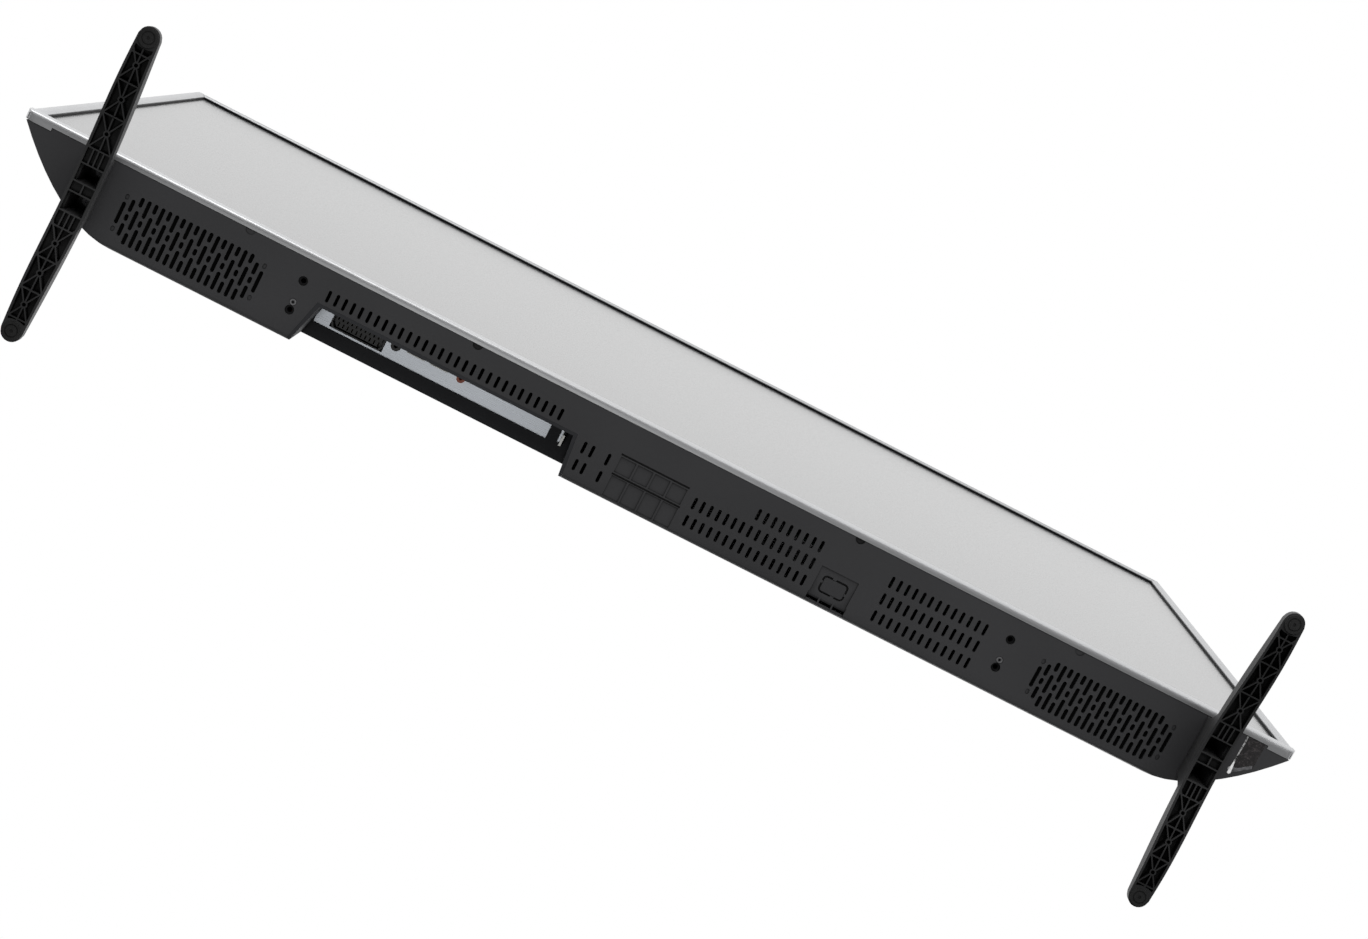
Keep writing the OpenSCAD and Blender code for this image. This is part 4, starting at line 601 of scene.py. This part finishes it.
wide_sockets = [downwards(-204), downwards(-184), sideways(238)]
wide_rows = [([i - 4.5 for i in range(10)], 1.96, -1), ([i - 4.0 for i in range(9)], 3.64, 1)]
usb_rows = [([-3.5, -1.0, 1.0, 3.5], 2.26, -1)]
strips("hdmi_contacts", wide_sockets, wide_rows, 0.42, 0.1, 1.6, 9.0)
strips("usb_contacts", [sideways(197), sideways(217)], usb_rows, 1.2, 0.1, 2.0, 10.0)

# Spring wires of the network socket
WIRE_PITCH = 1.02
wire = bent_strip([(2.35, 1.2), (2.4, 2.6), (3.4, 5.2), (5.4, 9.0)], 0.3)
verts, faces = [], []
for i in range(8):
    x = (i - 3.5) * WIRE_PITCH
    sweep(verts, faces, wire, 0, x - 0.2, x + 0.2, sideways(270))
piece("network_wires", "contact", verts, faces)


def screw_groups():
    """The points of the plain screws in millimetres of the set, one list for each screw."""
    groups = {}
    for v in nodes["cover_screws"].data.vertices:
        p = (v.co.x * 1000, (v.co.y - FRONT_SHIFT) * 1000, (v.co.z - STAND) * 1000)
        for k in groups:
            if math.hypot(k[0] - p[0], k[1] - p[2]) < 8:
                groups[k].append(p)
                break
        else:
            groups[(p[0], p[2])] = [p]
    return groups.values()


def cross(turn):
    """Outline of a cross recess, turned by an angle: twelve places round the screw's axis."""
    arms = []
    for q in range(4):
        a = turn + q * math.pi / 2
        for u, w in ((1.45, -0.36), (1.45, 0.36), (0.36, 0.36)):
            arms.append((u * math.cos(a) - w * math.sin(a), u * math.sin(a) + w * math.cos(a)))
    return arms


def screw_heads():
    """Pan head screws with a cross recess, in place of the plain solids."""
    sides = 24
    shank_r = 1.5
    head_t = 2
    recess_depth = 1.1
    bm = bmesh.new()
    for group in screw_groups():
        xs, ys, zs = ([p[i] for p in group] for i in range(3))
        x, z = (min(xs) + max(xs)) / 2, (min(zs) + max(zs)) / 2
        top, foot, r = max(ys), min(ys), (max(xs) - min(xs)) / 2
        arms = cross((x * 0.37 + z * 0.11) % 1.57)
        profile = ((shank_r, foot), (shank_r, top - head_t), (r, top - head_t), (r, top - 0.9),
                   (r - 0.25, top - 0.35), (r - 0.8, top))
        rings = []
        for ring_r, y in profile:
            angles = [i * 2 * math.pi / sides for i in range(sides)]
            rings.append([bm.verts.new(tv(x + ring_r * math.cos(a), y, z + ring_r * math.sin(a)))
                          for a in angles])
        for a, b in zip(rings, rings[1:]):
            for i in range(sides):
                j = (i + 1) % sides
                bm.faces.new((a[i], a[j], b[j], b[i]))
        bm.faces.new(rings[0])
        lips = [bm.verts.new(tv(x + a, top, z + b)) for a, b in arms]
        floor = [bm.verts.new(tv(x + a * 0.7, top - recess_depth, z + b * 0.7)) for a, b in arms]
        edges = [bm.edges.get((rings[-1][i], rings[-1][(i + 1) % sides])) for i in range(sides)]
        for i in range(len(arms)):
            j = (i + 1) % len(arms)
            bm.faces.new((lips[i], lips[j], floor[j], floor[i]))
            edges.append(bm.edges.get((lips[i], lips[j])))
        bm.faces.new(floor)
        bmesh.ops.triangle_fill(bm, use_beauty=True, edges=edges)
    mesh = bpy.data.meshes.new("cover_screw_heads")
    turn_out(mesh, bm)
    mesh.materials.append(M["screw"])
    o = add_object("cover_screw_heads", mesh)
    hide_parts("cover_screws")
    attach(o, "set")
    soften(o)


screw_heads()


# White surroundings, floor and lamps

def combine(t, operation, a, b):
    """A maths node on two values, each a socket or a plain number."""
    n = t.nodes.new("ShaderNodeMath")
    n.operation = operation
    for socket, value in zip(n.inputs, (a, b)):
        if isinstance(value, float):
            socket.default_value = value
        else:
            t.links.new(value, socket)
    return n.outputs[0]


def mix_shaders(t, factor, a, b):
    mix = t.nodes.new("ShaderNodeMixShader")
    for socket, value in zip(mix.inputs, (factor, a, b)):
        t.links.new(value, socket)
    return mix.outputs[0]


def make_world():
    """White to the eye and in reflections, and dimmer as a light."""
    world = bpy.data.worlds.new("world")
    scene.world = world
    world.use_nodes = True
    t = world.node_tree
    t.nodes.clear()
    out = t.nodes.new("ShaderNodeOutputWorld")
    bg = t.nodes.new("ShaderNodeBackground")
    ray = t.nodes.new("ShaderNodeLightPath")
    seen = combine(t, "MAXIMUM", ray.outputs["Is Camera Ray"], ray.outputs["Is Glossy Ray"])
    seen = combine(t, "MAXIMUM", seen, ray.outputs["Is Transmission Ray"])
    t.links.new(spread(t, seen, 0.6, 1.0, 0.0, 1.0), bg.inputs["Strength"])
    bg.inputs["Color"].default_value = (1, 1, 1, 1)
    t.links.new(bg.outputs[0], out.inputs[0])


def make_floor():
    """Pale floor that is clear from below, and fades into the white background far from the set."""
    size = 14.0
    mesh = bpy.data.meshes.new("floor")
    mesh.from_pydata([(-size, -size, 0), (size, -size, 0), (size, size, 0), (-size, size, 0)], [],
                     [(0, 1, 2, 3)])
    o = add_object("floor", mesh)
    m = bpy.data.materials.new("floor")
    m.use_nodes = True
    t = m.node_tree
    t.nodes.clear()
    out = t.nodes.new("ShaderNodeOutputMaterial")
    dif = t.nodes.new("ShaderNodeBsdfDiffuse")
    clear = t.nodes.new("ShaderNodeBsdfTransparent")
    white = t.nodes.new("ShaderNodeEmission")
    geo = t.nodes.new("ShaderNodeNewGeometry")
    ray = t.nodes.new("ShaderNodeLightPath")
    eye = ray.outputs["Is Camera Ray"]
    t.links.new(spread(t, eye, 0.28, 0.86, 0.0, 1.0), dif.inputs["Color"])
    see_through = combine(t, "MAXIMUM", geo.outputs["Backfacing"], ray.outputs["Is Shadow Ray"])
    ground = mix_shaders(t, see_through, dif.outputs[0], clear.outputs[0])

    place = t.nodes.new("ShaderNodeTexCoord")
    far = t.nodes.new("ShaderNodeVectorMath")
    far.operation = "LENGTH"
    t.links.new(place.outputs["Object"], far.inputs[0])
    fade = spread(t, far.outputs["Value"], 0.0, 1.0, 0.9, 3.2)
    fade.node.interpolation_type = "SMOOTHSTEP"
    from_above = combine(t, "SUBTRACT", 1.0, see_through)
    share = combine(t, "MULTIPLY", combine(t, "MULTIPLY", fade, eye), from_above)
    t.links.new(mix_shaders(t, share, ground, white.outputs[0]), out.inputs[0])
    mesh.materials.append(m)


def lamp(name, where, target, size, power):
    """A soft rectangular lamp. size: its width and height in metres. power: in watts."""
    d = bpy.data.lights.new(name, "AREA")
    d.shape = "RECTANGLE"
    d.size, d.size_y = size
    d.energy = power
    o = add_object(name, d)
    o.location = where
    o.rotation_euler = (Vector(target) - Vector(where)).to_track_quat("-Z", "Y").to_euler()


make_world()
make_floor()
lamp("lamp_front", (-1.2, -2.6, 1.6), (0, 0, 0.35), (1.6, 1.6), 22)
lamp("lamp_below", (0.3, -1.6, -1.9), (0.1, 0, 0.1), (2.8, 1.4), 24)
lamp("lamp_low", (0.8, -2.8, -0.6), (0.2, 0, 0.06), (4.0, 1.4), 37)
lamp("lamp_back", (1.4, 2.4, 1.9), (0, 0, 0.35), (1.6, 1.6), 22)
lamp("lamp_bay", tv(-265, 372, -1898), tv(-185, 46, 58), (0.5, 0.5), 2.15)

scene.view_settings.view_transform = "Standard"
